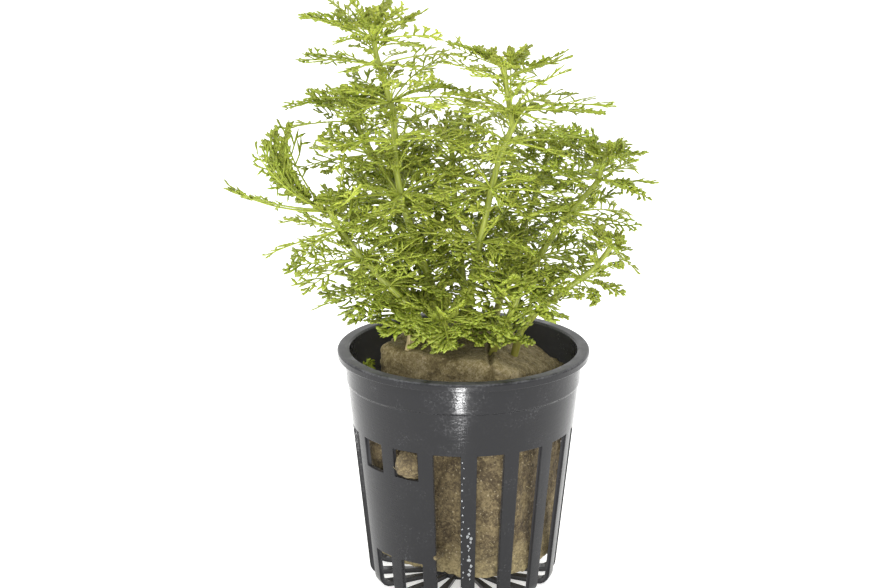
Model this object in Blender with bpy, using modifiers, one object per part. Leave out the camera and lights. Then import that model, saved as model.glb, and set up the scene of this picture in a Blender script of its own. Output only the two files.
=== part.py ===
"""Giant ambulia: a bunch of cut shoots rooted in a block of rock wool, in a slotted net pot.

The pot's axis is the world's Z axis, its floor stands on Z = 0, and the front is towards -Y.
Lengths in the tables are millimetres, and angles are degrees from +X, seen from above.
"""

import math
import random

import bmesh
import bpy
import numpy as np
from mathutils import Matrix, Vector
from mathutils.bvhtree import BVHTree

MM = 0.001
GAP = 0.3  # clear space between touching pieces
FACET_ROOM = 0.1  # added to a gap beside a faceted round surface

# Net pot
POT_HEIGHT = 50.0
RIM_RADIUS = 26.0
RIM_OPENING = 23.4
LIP_HEIGHT = 1.6
LIP_WIDTH = 0.7
EDGE = 0.3  # size of the rounded edges of the flange and the collar
COLLAR_RADIUS = 24.5
COLLAR_FOOT = 43.0
WALL_TOP_RADIUS = 23.9
WALL_FOOT_RADIUS = 19.7
CORNER_RADIUS = 2.8
WALL = 1.0
POT_SEGMENTS = 48
SLOTS = 16
SLOT_WIDTH = 14.2  # degrees
FIRST_SLOT = -98.9  # degrees, the slot just left of the front
SLOT_FOOT = -1.0  # the slots are cut through the floor
SLOT_TOP = 34.0
SLOT_REACH = 5.0  # how near to the axis the slots run in across the floor
LABEL_SLOTS = (14, 15)  # the two slots that the bare label panel closes
LABEL_TOP = 27.9
LABEL_FOOT = 9.2

# Rock wool
WOOL_FOOT = 5.7
WOOL_TOP = 52.0
WOOL_CENTRE = (2.1, 0.0)
WOOL_TURN = 17.5  # degrees, from the front to the block's front corner
WOOL_DIAGONAL = 19.8  # centre to corner
WOOL_SQUARE = 10.0  # exponent of the section where it is a block, above the pot's collar
WOOL_ROUND = 4.5  # exponent where the pot squeezes it
WOOL_SQUARE_FROM = 48.0
WOOL_ROUND_BELOW = 36.0
WOOL_SIDES = 32
WOOL_LEVELS = (WOOL_FOOT, 12.0, 24.0, 36.0, 45.0, WOOL_TOP)
WOOL_SLOPE_START = 6.0  # X where the top begins to fall to the right corner
WOOL_SLOPE = 0.5
WOOL_TILT_FROM = 40.0  # height where the sides begin to follow the sloping top
WOOL_CREST = -8.0  # X of the middle of the level part of the top
TUFT_ANGLE = FIRST_SLOT - 360.0 / SLOTS
TUFT_HEIGHT = 31.2
TUFT_SIZE = (5.4, 2.2, 2.2)
TUFT_REACH = 18.8

# Shoots
STEM_FOOT_RADIUS = 1.0
STEM_TIP_RADIUS = 0.65
STEM_STEP = 6.5
STEM_ROOT = 6.0  # how deep a stem stands in the rock wool
STEM_SPAN = 1.5  # half the stretch of stem that a whorl is square to
SOCKET_TOP = 56.0  # height that the holes for the stems reach, just over the rock wool
HUB_GAP = 0.35  # clear space between a stem and a whorl's hub
HUB_RING = 0.7
BLADE_THICK = 0.5
BLADE_ROOT_HALF_WIDTH = 1.4
BLADE_HALF_WIDTH = 2.0
BLADE_WIDEST = 0.62  # share of the leaf's length
NOTCH_SPACING = 70.0  # degrees between the hub's own corners where there is no leaf
LEAF_SPREAD = 26.0  # degrees, the least between two leaves of a whorl
LEAF_JITTER = 7.0  # degrees, how uneven a whorl is
LEAF_SHARES = (0.86, 1.02)  # shortest and longest leaf, as shares of the whorl's leaf length
CLEARANCE = 0.15  # kept all round a leaf when it is fitted among the others
TRIES = 60  # places that a leaf is tried in
MOST_SWING = 30.0  # degrees that a leaf may be swung round to find room
MOST_LIFT = 34.0  # degrees that it may be lifted or lowered
MOST_SHORTENING = 0.45  # share of its length that it may lose

# Each shoot: its route from the rock wool up, then its whorls from the top down. A whorl is its
# height on the stem, its number of leaves, their length, rise and arch, and the leaves that stand
# out in the outline as (angle, rise, length).
SHOOTS = {
    "tall_left": (
        [(-3, 2, 50), (-4.5, 2, 57), (-8, 1, 67), (-12.4, 0, 80), (-13.9, 0, 91), (-14.2, 0, 100),
         (-17, 0, 108), (-18.4, 0, 117)],
        [(115.6, 6, 9, 24, -8, [(20, 16, 11), (150, 24, 9)]),
         (113.4, 6, 15, 8, 10, [(184, 23, 15.5), (335, 6, 15)]),
         (108.4, 6, 15, 2, 12, [(190, 8, 15.5), (5, 6, 15)]),
         (101.0, 6, 17, 2, 12, [(176, 4, 16), (352, 0, 17.5)]),
         (93.0, 6, 17, 2, 14, [(215, 0, 17), (8, -2, 17)]),
         (82.0, 6, 17, 4, 12, [(150, 8, 15)])],
    ),
    "tall_right": (
        [(2, -2, 50), (1, -3, 58), (2.5, -3, 69), (4.8, -3, 80), (6.6, -3, 89), (9.6, -3, 96),
         (8.7, -3, 102), (7.6, -3, 110)],
        [(108.8, 6, 9, 12, -4, [(172, 26, 11.5)]),
         (106.2, 6, 13, 8, 8, [(184, 20, 13), (8, 18, 13.5)]),
         (99.8, 6, 18, 0, 12, [(356, 2, 20), (172, 4, 15)]),
         (93.6, 6, 17, 0, 12, [(20, -4, 18), (195, -4, 15)]),
         (84.0, 6, 17, 2, 12, [(335, 0, 16)]),
         (73.0, 6, 16, 2, 12, [(250, 0, 14)])],
    ),
    "right": (
        [(9, 1, 48), (9.5, 1, 56), (12.5, 0, 64), (17.6, -1, 73), (21, -1, 78), (25.6, -1, 83),
         (28, -1, 87), (28.6, -1, 91.5)],
        [(90.2, 6, 9, 18, -6, [(2, 10, 8.5)]),
         (85.4, 6, 13, 2, 10, [(350, 2, 11.5), (180, 8, 14)]),
         (78.6, 6, 15, 0, 12, [(340, -4, 14), (165, 0, 15)]),
         (69.5, 6, 16, 0, 12, [(325, -6, 15)])],
    ),
    "low_right": (
        [(10, -5, 48), (12, -6, 56), (17.5, -7, 62), (25, -8, 67.5), (30, -8, 74)],
        [(73.2, 5, 6.5, 20, 0, [(350, -45, 7.5)]),
         (66.6, 6, 9.5, 0, 10, [(352, -8, 9), (290, -16, 9)])],
    ),
    "left": (
        [(-6, -3, 50), (-9.5, -4, 58), (-15.5, -5, 64.5), (-19.5, -5, 69), (-23.4, -5, 73.5),
         (-27, -5, 79.5), (-27.6, -5, 81)],
        [(80.0, 6, 16, 30, -16, [(180, 17, 21.5), (153, 63, 21.5), (208, 46, 22), (330, 62, 15)]),
         (76.0, 6, 16, 0, 8, [(196, -14, 16), (20, 20, 17)]),
         (70.0, 6, 16, -4, 10, [(188, 0, 15.5), (222, -12, 16)]),
         (64.2, 6, 15, -2, 12, [(205, -4, 15)])],
    ),
    "upper_left": (
        [(-5.5, 7, 50), (-7, 8, 60), (-10, 8, 72), (-13.8, 7, 81), (-18, 6, 88), (-21.2, 6, 94),
         (-23.4, 6, 100.5)],
        [(99.4, 6, 10, 16, -4, [(170, 20, 9)]),
         (96.0, 6, 14, 0, 10, [(184, -4, 14.5)]),
         (89.0, 6, 16, 0, 12, [(196, -4, 15)]),
         (78.5, 6, 16, 2, 12, [(160, 0, 16)])],
    ),
    "middle": (
        [(1, 5, 50), (0, 6, 62), (-1.6, 7, 76), (-2.6, 7, 94)],
        [(92.6, 6, 11, 20, -4, []),
         (87.6, 6, 16, 4, 10, [(200, 8, 16)]),
         (79.0, 6, 17, 4, 12, []),
         (68.5, 6, 16, 4, 12, [])],
    ),
    "back_right": (
        [(6, 8, 48), (8, 11, 58), (12, 14, 70), (16, 16, 80), (18, 17, 88)],
        [(86.8, 6, 11, 20, -4, []),
         (82.0, 6, 15, 4, 10, [(20, 4, 16)]),
         (74.0, 6, 16, 2, 12, [(50, 0, 16)]),
         (64.0, 6, 16, 0, 12, [])],
    ),
    "back_left": (
        [(-5, 11, 50), (-8, 14, 60), (-13, 17, 71), (-16, 18, 82)],
        [(80.6, 6, 12, 20, -4, []),
         (75.6, 6, 16, 2, 10, [(160, 2, 16)]),
         (66.0, 6, 17, -2, 12, [])],
    ),
    "front": (
        [(-1.5, -7, 50), (-3, -10, 56), (-4.6, -13, 60.5)],
        [(59.6, 6, 12, 4, 6, [(190, -8, 12), (275, -12, 11), (330, -4, 13)]),
         (56.2, 6, 10, 0, 10, [(250, -6, 9)])],
    ),
    "low_left": (
        [(-8.5, 2, 50), (-13, 1, 57), (-18.5, 0, 62)],
        [(61.2, 6, 11.5, 6, 10, [(190, 0, 10), (228, -6, 11)]),
         (56.8, 6, 11, 2, 10, [])],
    ),
    "front_right": (
        [(5.5, -8, 50), (7.5, -10, 56), (10.5, -12, 63), (12, -13, 68)],
        [(66.6, 6, 12, 16, -2, []),
         (61.6, 6, 13, 2, 10, [(340, -2, 11)]),
         (56.2, 5, 9, 2, 10, [(320, -2, 8)])],
    ),
}

# Loose bits
STUB_FOOT = (-11.5, -8.0)
STUB_DEPTH = 3.0
STUB_RADIUS = 0.8
STUB_LENGTH = 6.0
STUB_LEAN = (0.18, 0.05, 1.0)
STRAY_PLACE = (-19.6, -5.6, 46.0)
STRAY_OUTLINE = ((0, -1.6), (0.8, -0.4), (0.5, 1.0), (0, 2.2), (-0.6, 0.9), (-0.7, -0.6))
STRAY_LEAN = (68.0, 0.0, -18.0)  # degrees about X, Y and Z


def clear_scene():
    for item in list(bpy.data.objects):
        bpy.data.objects.remove(item, do_unlink=True)


def new_collection(name):
    group = bpy.data.collections.new(name)
    bpy.context.scene.collection.children.link(group)
    return group


def material(name, colour, roughness, metallic=0.0):
    """A plain Principled material; the colour is linear."""
    made = bpy.data.materials.new(name)
    made.use_nodes = True
    shader = made.node_tree.nodes["Principled BSDF"]
    shader.inputs["Base Color"].default_value = (*colour, 1.0)
    shader.inputs["Roughness"].default_value = roughness
    shader.inputs["Metallic"].default_value = metallic
    made.diffuse_color = (*colour, 1.0)
    return made


def add_object(name, data, group, finish=None):
    item = bpy.data.objects.new(name, data)
    group.objects.link(item)
    if finish is not None:
        data.materials.append(finish)
    return item


def as_cutter(item):
    item.hide_render = True
    item.display_type = "WIRE"


def boolean(item, cutter, operation):
    modifier = item.modifiers.new(cutter.name, "BOOLEAN")
    modifier.operation = operation
    modifier.solver = "EXACT"
    modifier.object = cutter


def turned(name, profile, segments, group, finish):
    """A profile in the XZ plane turned about Z. It starts on the axis and ends on it."""
    mesh = bpy.data.meshes.new(name)
    points = [(r * MM, 0.0, z * MM) for r, z in profile]
    mesh.from_pydata(points, [(i, i + 1) for i in range(len(points) - 1)], [])
    item = add_object(name, mesh, group, finish)
    screw = item.modifiers.new("turn", "SCREW")
    screw.steps = segments
    screw.render_steps = segments
    screw.use_merge_vertices = True
    screw.merge_threshold = 0.00001
    screw.use_smooth_shade = True
    return item


def baked(item, group):
    """Make a curve object a welded mesh object in its own place, and remove the curve."""
    name = item.name
    depsgraph = bpy.context.evaluated_depsgraph_get()
    mesh = bpy.data.meshes.new_from_object(item.evaluated_get(depsgraph))
    place = item.matrix_world.copy()
    bpy.data.objects.remove(item, do_unlink=True)
    work = bmesh.new()
    work.from_mesh(mesh)
    bmesh.ops.remove_doubles(work, verts=work.verts, dist=0.00001)
    bmesh.ops.recalc_face_normals(work, faces=work.faces)
    work.to_mesh(mesh)
    work.free()
    made = add_object(name, mesh, group)
    made.matrix_world = place
    return made


# Net pot

def corner_arc(radius, centre, start, end, steps):
    angles = np.radians(np.linspace(start, end, steps + 1))
    return [(centre[0] + radius * math.cos(a), centre[1] + radius * math.sin(a)) for a in angles]


def pot_profile():
    """Inner floor, inner wall, flange and lip, collar, outer wall and foot."""
    inner_corner = CORNER_RADIUS - WALL
    floor_radius = WALL_FOOT_RADIUS - CORNER_RADIUS
    inside = corner_arc(inner_corner, (floor_radius, CORNER_RADIUS), -90, 0, 3)
    outside = corner_arc(CORNER_RADIUS, (floor_radius, CORNER_RADIUS), 0, -90, 4)
    top = POT_HEIGHT
    flange_foot = top - WALL
    return [
        (0.0, WALL),
        *inside,
        (WALL_TOP_RADIUS - WALL, COLLAR_FOOT),
        (RIM_OPENING - EDGE, COLLAR_FOOT + EDGE),
        (RIM_OPENING, top - EDGE),
        (RIM_OPENING + EDGE, top),
        (RIM_RADIUS - EDGE, top),
        (RIM_RADIUS, top - EDGE),
        (RIM_RADIUS, top - LIP_HEIGHT),
        (RIM_RADIUS - LIP_WIDTH, top - LIP_HEIGHT),
        (RIM_RADIUS - LIP_WIDTH, flange_foot),
        (COLLAR_RADIUS, flange_foot),
        (COLLAR_RADIUS - EDGE, COLLAR_FOOT + EDGE),
        (WALL_TOP_RADIUS, COLLAR_FOOT),
        *outside,
        (0.0, 0.0),
    ]


def slot_cutter(name, angle, foot, top, group):
    """A wedge with radial sides, from near the axis to outside the wall."""
    work = bmesh.new()
    bmesh.ops.create_cube(work, size=1.0)
    reach = (SLOT_REACH, RIM_RADIUS + 3)
    slope = math.tan(math.radians(SLOT_WIDTH / 2))
    for vertex in work.verts:
        radius = reach[vertex.co.x > 0]
        side = 1 if vertex.co.y > 0 else -1
        height = top if vertex.co.z > 0 else foot
        vertex.co = Vector((radius, side * radius * slope, height)) * MM
    mesh = bpy.data.meshes.new(name)
    work.to_mesh(mesh)
    work.free()
    item = add_object(name, mesh, group)
    item.rotation_euler.z = math.radians(angle)
    as_cutter(item)
    return item


def make_pot(parts, cutters):
    plastic = material("pot_plastic", (0.022, 0.023, 0.025), 0.42)
    pot = turned("net_pot", pot_profile(), POT_SEGMENTS, parts, plastic)
    for number in range(SLOTS):
        angle = FIRST_SLOT + 360.0 / SLOTS * number
        spans = [(SLOT_FOOT, SLOT_TOP)]
        if number in LABEL_SLOTS:
            spans = [(SLOT_FOOT, LABEL_FOOT), (LABEL_TOP, SLOT_TOP)]
        for place, (foot, top) in enumerate(spans):
            cutter = slot_cutter(f"slot_{number}_{place}", angle, foot, top, cutters)
            boolean(pot, cutter, "DIFFERENCE")
    return pot


# Rock wool

def inner_wall_radius(height):
    """Radius of the pot's wall on its inside."""
    share = np.clip((height - CORNER_RADIUS) / (COLLAR_FOOT - CORNER_RADIUS), 0, 1)
    return WALL_FOOT_RADIUS - WALL + share * (WALL_TOP_RADIUS - WALL_FOOT_RADIUS)


def wool_radius(angle, height):
    """Distance from the block's centre to its side: a rounded square held inside the pot's wall."""
    squeeze = np.clip((WOOL_SQUARE_FROM - height) / (WOOL_SQUARE_FROM - WOOL_ROUND_BELOW), 0, 1)
    exponent = WOOL_SQUARE + squeeze * (WOOL_ROUND - WOOL_SQUARE)
    corner = math.radians(-90 + WOOL_TURN)
    half_side = WOOL_DIAGONAL / (math.sqrt(2) * 2 ** (-1 / exponent))
    local = angle - corner + math.pi / 4
    size = (abs(math.cos(local)) ** exponent + abs(math.sin(local)) ** exponent) ** (-1 / exponent)
    radius = half_side * size
    along = WOOL_CENTRE[0] * math.cos(angle) + WOOL_CENTRE[1] * math.sin(angle)
    across = WOOL_CENTRE[0] * math.sin(angle) - WOOL_CENTRE[1] * math.cos(angle)
    wall = inner_wall_radius(height) - GAP - FACET_ROOM
    to_wall = -along + math.sqrt(wall ** 2 - across ** 2)
    return min(radius, to_wall)


def wool_top(x):
    return WOOL_TOP - WOOL_SLOPE * max(0.0, x - WOOL_SLOPE_START)


def ring_height(level, x):
    """Height of a side's corner: from the level itself low down to the sloping top's own height."""
    tilt = max(0.0, level - WOOL_TILT_FROM) / (WOOL_TOP - WOOL_TILT_FROM)
    return level - (WOOL_TOP - wool_top(x)) * tilt


def wool_body(parts, finish):
    """Loft of rounded squares, squarer towards the top, whose top falls away to the right."""
    work = bmesh.new()
    rings = []
    for level in WOOL_LEVELS:
        ring = []
        for step in range(WOOL_SIDES):
            angle = math.tau * step / WOOL_SIDES
            radius = wool_radius(angle, level)
            x = WOOL_CENTRE[0] + radius * math.cos(angle)
            y = WOOL_CENTRE[1] + radius * math.sin(angle)
            ring.append(work.verts.new(Vector((x, y, ring_height(level, x))) * MM))
        rings.append(ring)
    for low, high in zip(rings, rings[1:]):
        for step in range(WOOL_SIDES):
            after = (step + 1) % WOOL_SIDES
            work.faces.new((low[step], low[after], high[after], high[step]))
    foot = work.verts.new(Vector((*WOOL_CENTRE, WOOL_FOOT)) * MM)
    for step in range(WOOL_SIDES):
        after = (step + 1) % WOOL_SIDES
        work.faces.new((foot, rings[0][after], rings[0][step]))
    crown = []
    for x in (WOOL_CREST, WOOL_SLOPE_START):
        crown.append(work.verts.new(Vector((x, WOOL_CENTRE[1], wool_top(x))) * MM))
    top = rings[-1]
    for step in range(WOOL_SIDES):
        after = (step + 1) % WOOL_SIDES
        near = [crown[int(v.co.x / MM > WOOL_SLOPE_START)] for v in (top[step], top[after])]
        work.faces.new((top[step], top[after], near[1]))
        if near[0] != near[1]:
            work.faces.new((top[step], near[1], near[0]))
    bmesh.ops.recalc_face_normals(work, faces=work.faces)
    mesh = bpy.data.meshes.new("rock_wool_plug")
    work.to_mesh(mesh)
    work.free()
    return add_object("rock_wool_plug", mesh, parts, finish)


def wool_tuft(cutters):
    """The lump of wool that is pressed out through the window above the label panel."""
    bpy.ops.mesh.primitive_uv_sphere_add(segments=10, ring_count=7, radius=1.0)
    tuft = bpy.context.object
    tuft.name = "wool_tuft"
    tuft.data.transform(Matrix.Diagonal((*[size * MM for size in TUFT_SIZE], 1.0)))
    for group in list(tuft.users_collection):
        group.objects.unlink(tuft)
    cutters.objects.link(tuft)
    angle = math.radians(TUFT_ANGLE)
    out = Vector((math.cos(angle), math.sin(angle), 0)) * TUFT_REACH
    tuft.location = (out + Vector((0, 0, TUFT_HEIGHT))) * MM
    tuft.rotation_euler.z = angle
    as_cutter(tuft)
    return tuft


# Shoots

def smooth_route(points, step):
    """Points every step or so along the Catmull-Rom curve through the route."""
    route = np.array(points, dtype=float)
    ends = np.vstack([2 * route[0] - route[1], route, 2 * route[-1] - route[-2]])
    fine = []
    for i in range(1, len(ends) - 2):
        a, b, c, d = ends[i - 1:i + 3]
        t = np.linspace(0, 1, 21)[:, None]
        if i > 1:
            t = t[1:]
        fine.append(0.5 * (2 * b + (c - a) * t + (2 * a - 5 * b + 4 * c - d) * t ** 2
                           + (3 * b - a - 3 * c + d) * t ** 3))
    fine = np.vstack(fine)
    run = np.concatenate([[0], np.cumsum(np.linalg.norm(np.diff(fine, axis=0), axis=1))])
    count = max(3, int(round(run[-1] / step)) + 1)
    even = np.linspace(0, run[-1], count)
    return np.column_stack([np.interp(even, run, fine[:, k]) for k in range(3)])


def stem_radius(share):
    return STEM_FOOT_RADIUS + share * (STEM_TIP_RADIUS - STEM_FOOT_RADIUS)


def tube(name, points, radii, group):
    """A six-sided tube with filled ends through the points."""
    data = bpy.data.curves.new(name, "CURVE")
    data.dimensions = "3D"
    data.bevel_depth = MM
    data.bevel_resolution = 1
    data.use_fill_caps = True
    spline = data.splines.new("POLY")
    spline.points.add(len(points) - 1)
    for knot, point, radius in zip(spline.points, points, radii):
        knot.co = (*[c * MM for c in point], 1.0)
        knot.radius = radius
    return baked(add_object(name, data, group), group)


def make_stem(name, route, parts, finish):
    """A stem from its foot in the rock wool to its tip; gives the points that it runs through."""
    foot = np.array(route[0], dtype=float) - (0, 0, STEM_ROOT)
    points = smooth_route([foot, *route], STEM_STEP)
    stem = tube(f"stem_{name}", points, stem_radius(np.linspace(0, 1, len(points))), parts)
    stem.data.materials.append(finish)
    return points


def make_socket(name, points, cutters):
    """The hole that the stem's foot stands in, a little wider than the stem."""
    deep = points[0] - (0, 0, GAP)
    inside = points[points[:, 2] < SOCKET_TOP]
    if len(inside) < 3:
        inside = points[:3]
    radii = [STEM_FOOT_RADIUS + GAP + FACET_ROOM] * len(inside)
    socket = tube(f"socket_{name}", [deep, *inside[1:]], radii, cutters)
    as_cutter(socket)
    return socket


def along_stem(points, height):
    """Where the stem is at a height, which way it runs there, and how far up it that is."""
    place = np.array([np.interp(height, points[:, 2], points[:, k]) for k in range(3)])
    span = height + np.array([-STEM_SPAN, STEM_SPAN])
    ends = np.column_stack([np.interp(span, points[:, 2], points[:, k]) for k in range(3)])
    share = np.interp(height, points[:, 2], np.linspace(0, 1, len(points)))
    return Vector(place), Vector(ends[1] - ends[0]).normalized(), float(share)


class Leaf:
    """A leaf of a whorl: a quadratic curve from the hub to the tip, with a blade along it.

    Its length is measured from the stem's middle."""

    def __init__(self, place, axis, hub, azimuth, rise, length, arch):
        self.azimuth = azimuth
        self.length = length - hub
        flat = Vector((math.cos(math.radians(azimuth)), math.sin(math.radians(azimuth)), 0))
        self.side = Vector((0, 0, 1)).cross(flat)
        start = (flat - axis * flat.dot(axis)).normalized()
        self.root = place + start * hub
        self.knee = self.root + self.reach(flat, rise + arch) * self.length * 0.5
        self.tip = self.root + self.reach(flat, rise) * self.length

    @staticmethod
    def reach(flat, rise):
        return flat * math.cos(math.radians(rise)) + Vector((0, 0, 1)) * math.sin(math.radians(rise))

    def at(self, t):
        return self.root * (1 - t) ** 2 + self.knee * (2 * t * (1 - t)) + self.tip * t ** 2

    def face(self, t):
        """Unit normal of the blade at t."""
        run = (self.knee - self.root) * (1 - t) + (self.tip - self.knee) * t
        return run.cross(self.side).normalized()

    def hull(self, spare):
        """A closed kite-shaped prism round the leaf, spare wider than it on every side."""
        thick = BLADE_THICK / 2 + spare
        corners = []
        for t, half in ((0.0, BLADE_ROOT_HALF_WIDTH), (BLADE_WIDEST, BLADE_HALF_WIDTH), (1.0, 0.0)):
            up = self.face(t) * thick
            out = self.side * (half + spare)
            middle = self.at(t)
            corners += [middle - out - up, middle + out - up, middle + out + up, middle - out + up]
        faces = [(0, 1, 2, 3), (8, 9, 10, 11)]
        for ring in (0, 4):
            for k in range(4):
                after = (k + 1) % 4
                faces.append((ring + k, ring + after, ring + 4 + after, ring + 4 + k))
        return corners, faces


def world_shape(item):
    """Corners in millimetres and faces of an object as the viewport shows it."""
    depsgraph = bpy.context.evaluated_depsgraph_get()
    shown = item.evaluated_get(depsgraph)
    mesh = shown.to_mesh()
    corners = [shown.matrix_world @ v.co / MM for v in mesh.vertices]
    faces = [tuple(p.vertices) for p in mesh.polygons]
    shown.to_mesh_clear()
    return corners, faces


class Crowd:
    """Everything that is already in place, to fit the next leaf among it."""

    def __init__(self):
        self.trees = []

    def add(self, corners, faces, owner=None):
        low = np.min(corners, axis=0)
        high = np.max(corners, axis=0)
        self.trees.append((owner, low, high, BVHTree.FromPolygons(corners, faces)))

    def hits(self, corners, faces, owner):
        """Whether the shape cuts through anything that isn't its owner's own."""
        low = np.min(corners, axis=0)
        high = np.max(corners, axis=0)
        tree = BVHTree.FromPolygons(corners, faces)
        for other_owner, other_low, other_high, other in self.trees:
            if other_owner == owner or np.any(low > other_high) or np.any(high < other_low):
                continue
            if tree.overlap(other):
                return True
        return False


def turn_between(one, other):
    return abs((one - other + 180) % 360 - 180)


def planned_leaves(draw, count, length, rise, shown):
    """Angle, rise and length of each leaf: the shown leaves first, then the rest evenly round."""
    lead = shown[0][0] if shown else draw.uniform(0, 360)
    plan = []
    for k in range(count):
        azimuth = lead + 360 * k / count + draw.uniform(-LEAF_JITTER, LEAF_JITTER)
        lifted = rise + draw.uniform(-LEAF_JITTER, LEAF_JITTER)
        plan.append([azimuth, lifted, length * draw.uniform(*LEAF_SHARES)])
    for leaf in shown:
        plan.remove(min(plan, key=lambda other: turn_between(other[0], leaf[0])))
    return [*shown, *plan]


def fitted_leaf(draw, crowd, name, leaves, place, axis, hub, wanted, arch):
    """The wanted leaf, swung, lifted and at last shortened until it clears what is in place."""
    azimuth, rise, length = wanted
    for attempt in range(TRIES):
        ease = attempt / TRIES
        leaf = Leaf(place, axis, hub,
                    azimuth + draw.uniform(-1, 1) * MOST_SWING * ease,
                    rise + draw.uniform(-1, 1) * MOST_LIFT * ease,
                    length * (1 - MOST_SHORTENING * ease * ease),
                    arch)
        if any(turn_between(leaf.azimuth, other.azimuth) < LEAF_SPREAD for other in leaves):
            continue
        if not crowd.hits(*leaf.hull(CLEARANCE), name):
            return leaf
    return None


def star_outline(data, leaves, hub, bore):
    """Flat outline of a whorl: a kite for each leaf round a hub with a six-sided hole."""
    outer = []
    for k, leaf in enumerate(leaves):
        after = leaves[(k + 1) % len(leaves)]
        turn = math.radians(leaf.azimuth)
        run = (math.cos(turn), math.sin(turn))
        wide = hub + leaf.length * BLADE_WIDEST
        for reach, half in ((wide, -BLADE_HALF_WIDTH), (hub + leaf.length, 0.0), (wide, BLADE_HALF_WIDTH)):
            outer.append((run[0] * reach - run[1] * half, run[1] * reach + run[0] * half))
        space = (after.azimuth - leaf.azimuth) % 360
        notches = max(1, round(space / NOTCH_SPACING))
        for notch in range(1, notches + 1):
            between = math.radians(leaf.azimuth + space * notch / (notches + 1))
            outer.append((hub * math.cos(between), hub * math.sin(between)))
    inner = [(bore * math.cos(math.tau * k / 6), bore * math.sin(math.tau * k / 6)) for k in range(6)]
    for points in (outer, inner):
        spline = data.splines.new("POLY")
        spline.points.add(len(points) - 1)
        spline.use_cyclic_u = True
        for knot, (x, y) in zip(spline.points, points):
            knot.co = (x * MM, y * MM, 0.0, 1.0)


def bend_star(mesh, leaves, place, axis, hub):
    """Carry the flat star onto the stem: the hub square to it, each kite along its leaf's curve."""
    first = (Vector((1, 0, 0)) - axis * axis.x).normalized()
    second = axis.cross(first)
    for vertex in mesh.vertices:
        x, y, z = vertex.co / MM
        radius = math.hypot(x, y)
        height = math.copysign(BLADE_THICK / 2, z)
        if radius < hub + HUB_RING:
            vertex.co = (place + first * x + second * y + axis * height) * MM
            continue
        turn = math.degrees(math.atan2(y, x))
        leaf = min(leaves, key=lambda other: turn_between(other.azimuth, turn))
        facing = math.radians(leaf.azimuth)
        reach = x * math.cos(facing) + y * math.sin(facing)
        across = y * math.cos(facing) - x * math.sin(facing)
        t = (reach - hub) / leaf.length
        vertex.co = (leaf.at(t) + leaf.side * across + leaf.face(t) * height) * MM


def hub_of(points, height):
    """Place and axis of a whorl's hub, the size of its hole and its outer size."""
    place, axis, share = along_stem(points, height)
    bore = (stem_radius(share) + HUB_GAP) / math.cos(math.pi / 6)
    return place, axis, bore, bore + HUB_RING


def hub_hull(place, axis, hub):
    """A six-sided prism round a hub, which keeps the other whorls' leaves out of it."""
    first = (Vector((1, 0, 0)) - axis * axis.x).normalized()
    second = axis.cross(first)
    corners = []
    for height in (-BLADE_THICK, BLADE_THICK):
        for k in range(6):
            turn = math.tau * k / 6
            spoke = first * math.cos(turn) + second * math.sin(turn)
            corners.append(place + spoke * (hub + CLEARANCE) + axis * height)
    faces = [(0, 1, 2, 3, 4, 5), (6, 7, 8, 9, 10, 11)]
    faces += [(k, (k + 1) % 6, 6 + (k + 1) % 6, 6 + k) for k in range(6)]
    return corners, faces


def make_whorl(name, points, spec, parts, finish, crowd):
    height, count, length, rise, arch, shown = spec
    draw = random.Random(name)
    place, axis, bore, hub = hub_of(points, height)
    leaves = []
    for wanted in planned_leaves(draw, count, length, rise, shown):
        leaf = fitted_leaf(draw, crowd, name, leaves, place, axis, hub, wanted, arch)
        if leaf is not None:
            leaves.append(leaf)
    leaves.sort(key=lambda leaf: leaf.azimuth % 360)
    data = bpy.data.curves.new(name, "CURVE")
    data.dimensions = "2D"
    data.fill_mode = "BOTH"
    data.extrude = BLADE_THICK / 2 * MM
    star_outline(data, leaves, hub, bore)
    whorl = baked(add_object(name, data, parts), parts)
    bend_star(whorl.data, leaves, place, axis, hub)
    whorl.data.materials.append(finish)
    crowd.add(*world_shape(whorl))


def make_shoots(parts, cutters, wool, pot):
    stem_green = material("stem_green", (0.36, 0.46, 0.04), 0.45)
    leaf_green = material("leaf_green", (0.22, 0.36, 0.02), 0.5)
    crowd = Crowd()
    whorls = {}
    for name, (route, specs) in SHOOTS.items():
        points = make_stem(name, route, parts, stem_green)
        boolean(wool, make_socket(name, points, cutters), "DIFFERENCE")
        for number, spec in enumerate(specs, 1):
            whorls[f"leaf_whorl_{name}_{number}"] = (points, spec)
    for item in (wool, pot, *[bpy.data.objects[f"stem_{name}"] for name in SHOOTS]):
        crowd.add(*world_shape(item))
    for name, (points, spec) in whorls.items():
        place, axis, _, hub = hub_of(points, spec[0])
        crowd.add(*hub_hull(place, axis, hub), name)
    for name, (points, spec) in whorls.items():
        make_whorl(name, points, spec, parts, leaf_green, crowd)


# Loose bits

def make_stub(parts, cutters, wool):
    """The dry end of an old stem, standing in the rock wool."""
    straw = material("dry_straw", (0.42, 0.36, 0.2), 0.8)
    x, y = STUB_FOOT
    foot = np.array((x, y, WOOL_TOP - STUB_DEPTH))
    lean = np.array(STUB_LEAN)
    points = [foot, foot + lean * STUB_LENGTH / 2, foot + lean * STUB_LENGTH]
    stub = tube("dry_stem_stub", points, [STUB_RADIUS] * 3, parts)
    stub.data.materials.append(straw)
    hole_radii = [STUB_RADIUS + GAP + FACET_ROOM] * 3
    hole = tube("socket_stub", [foot - lean * GAP, *points[1:]], hole_radii, cutters)
    as_cutter(hole)
    boolean(wool, hole, "DIFFERENCE")


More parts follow.
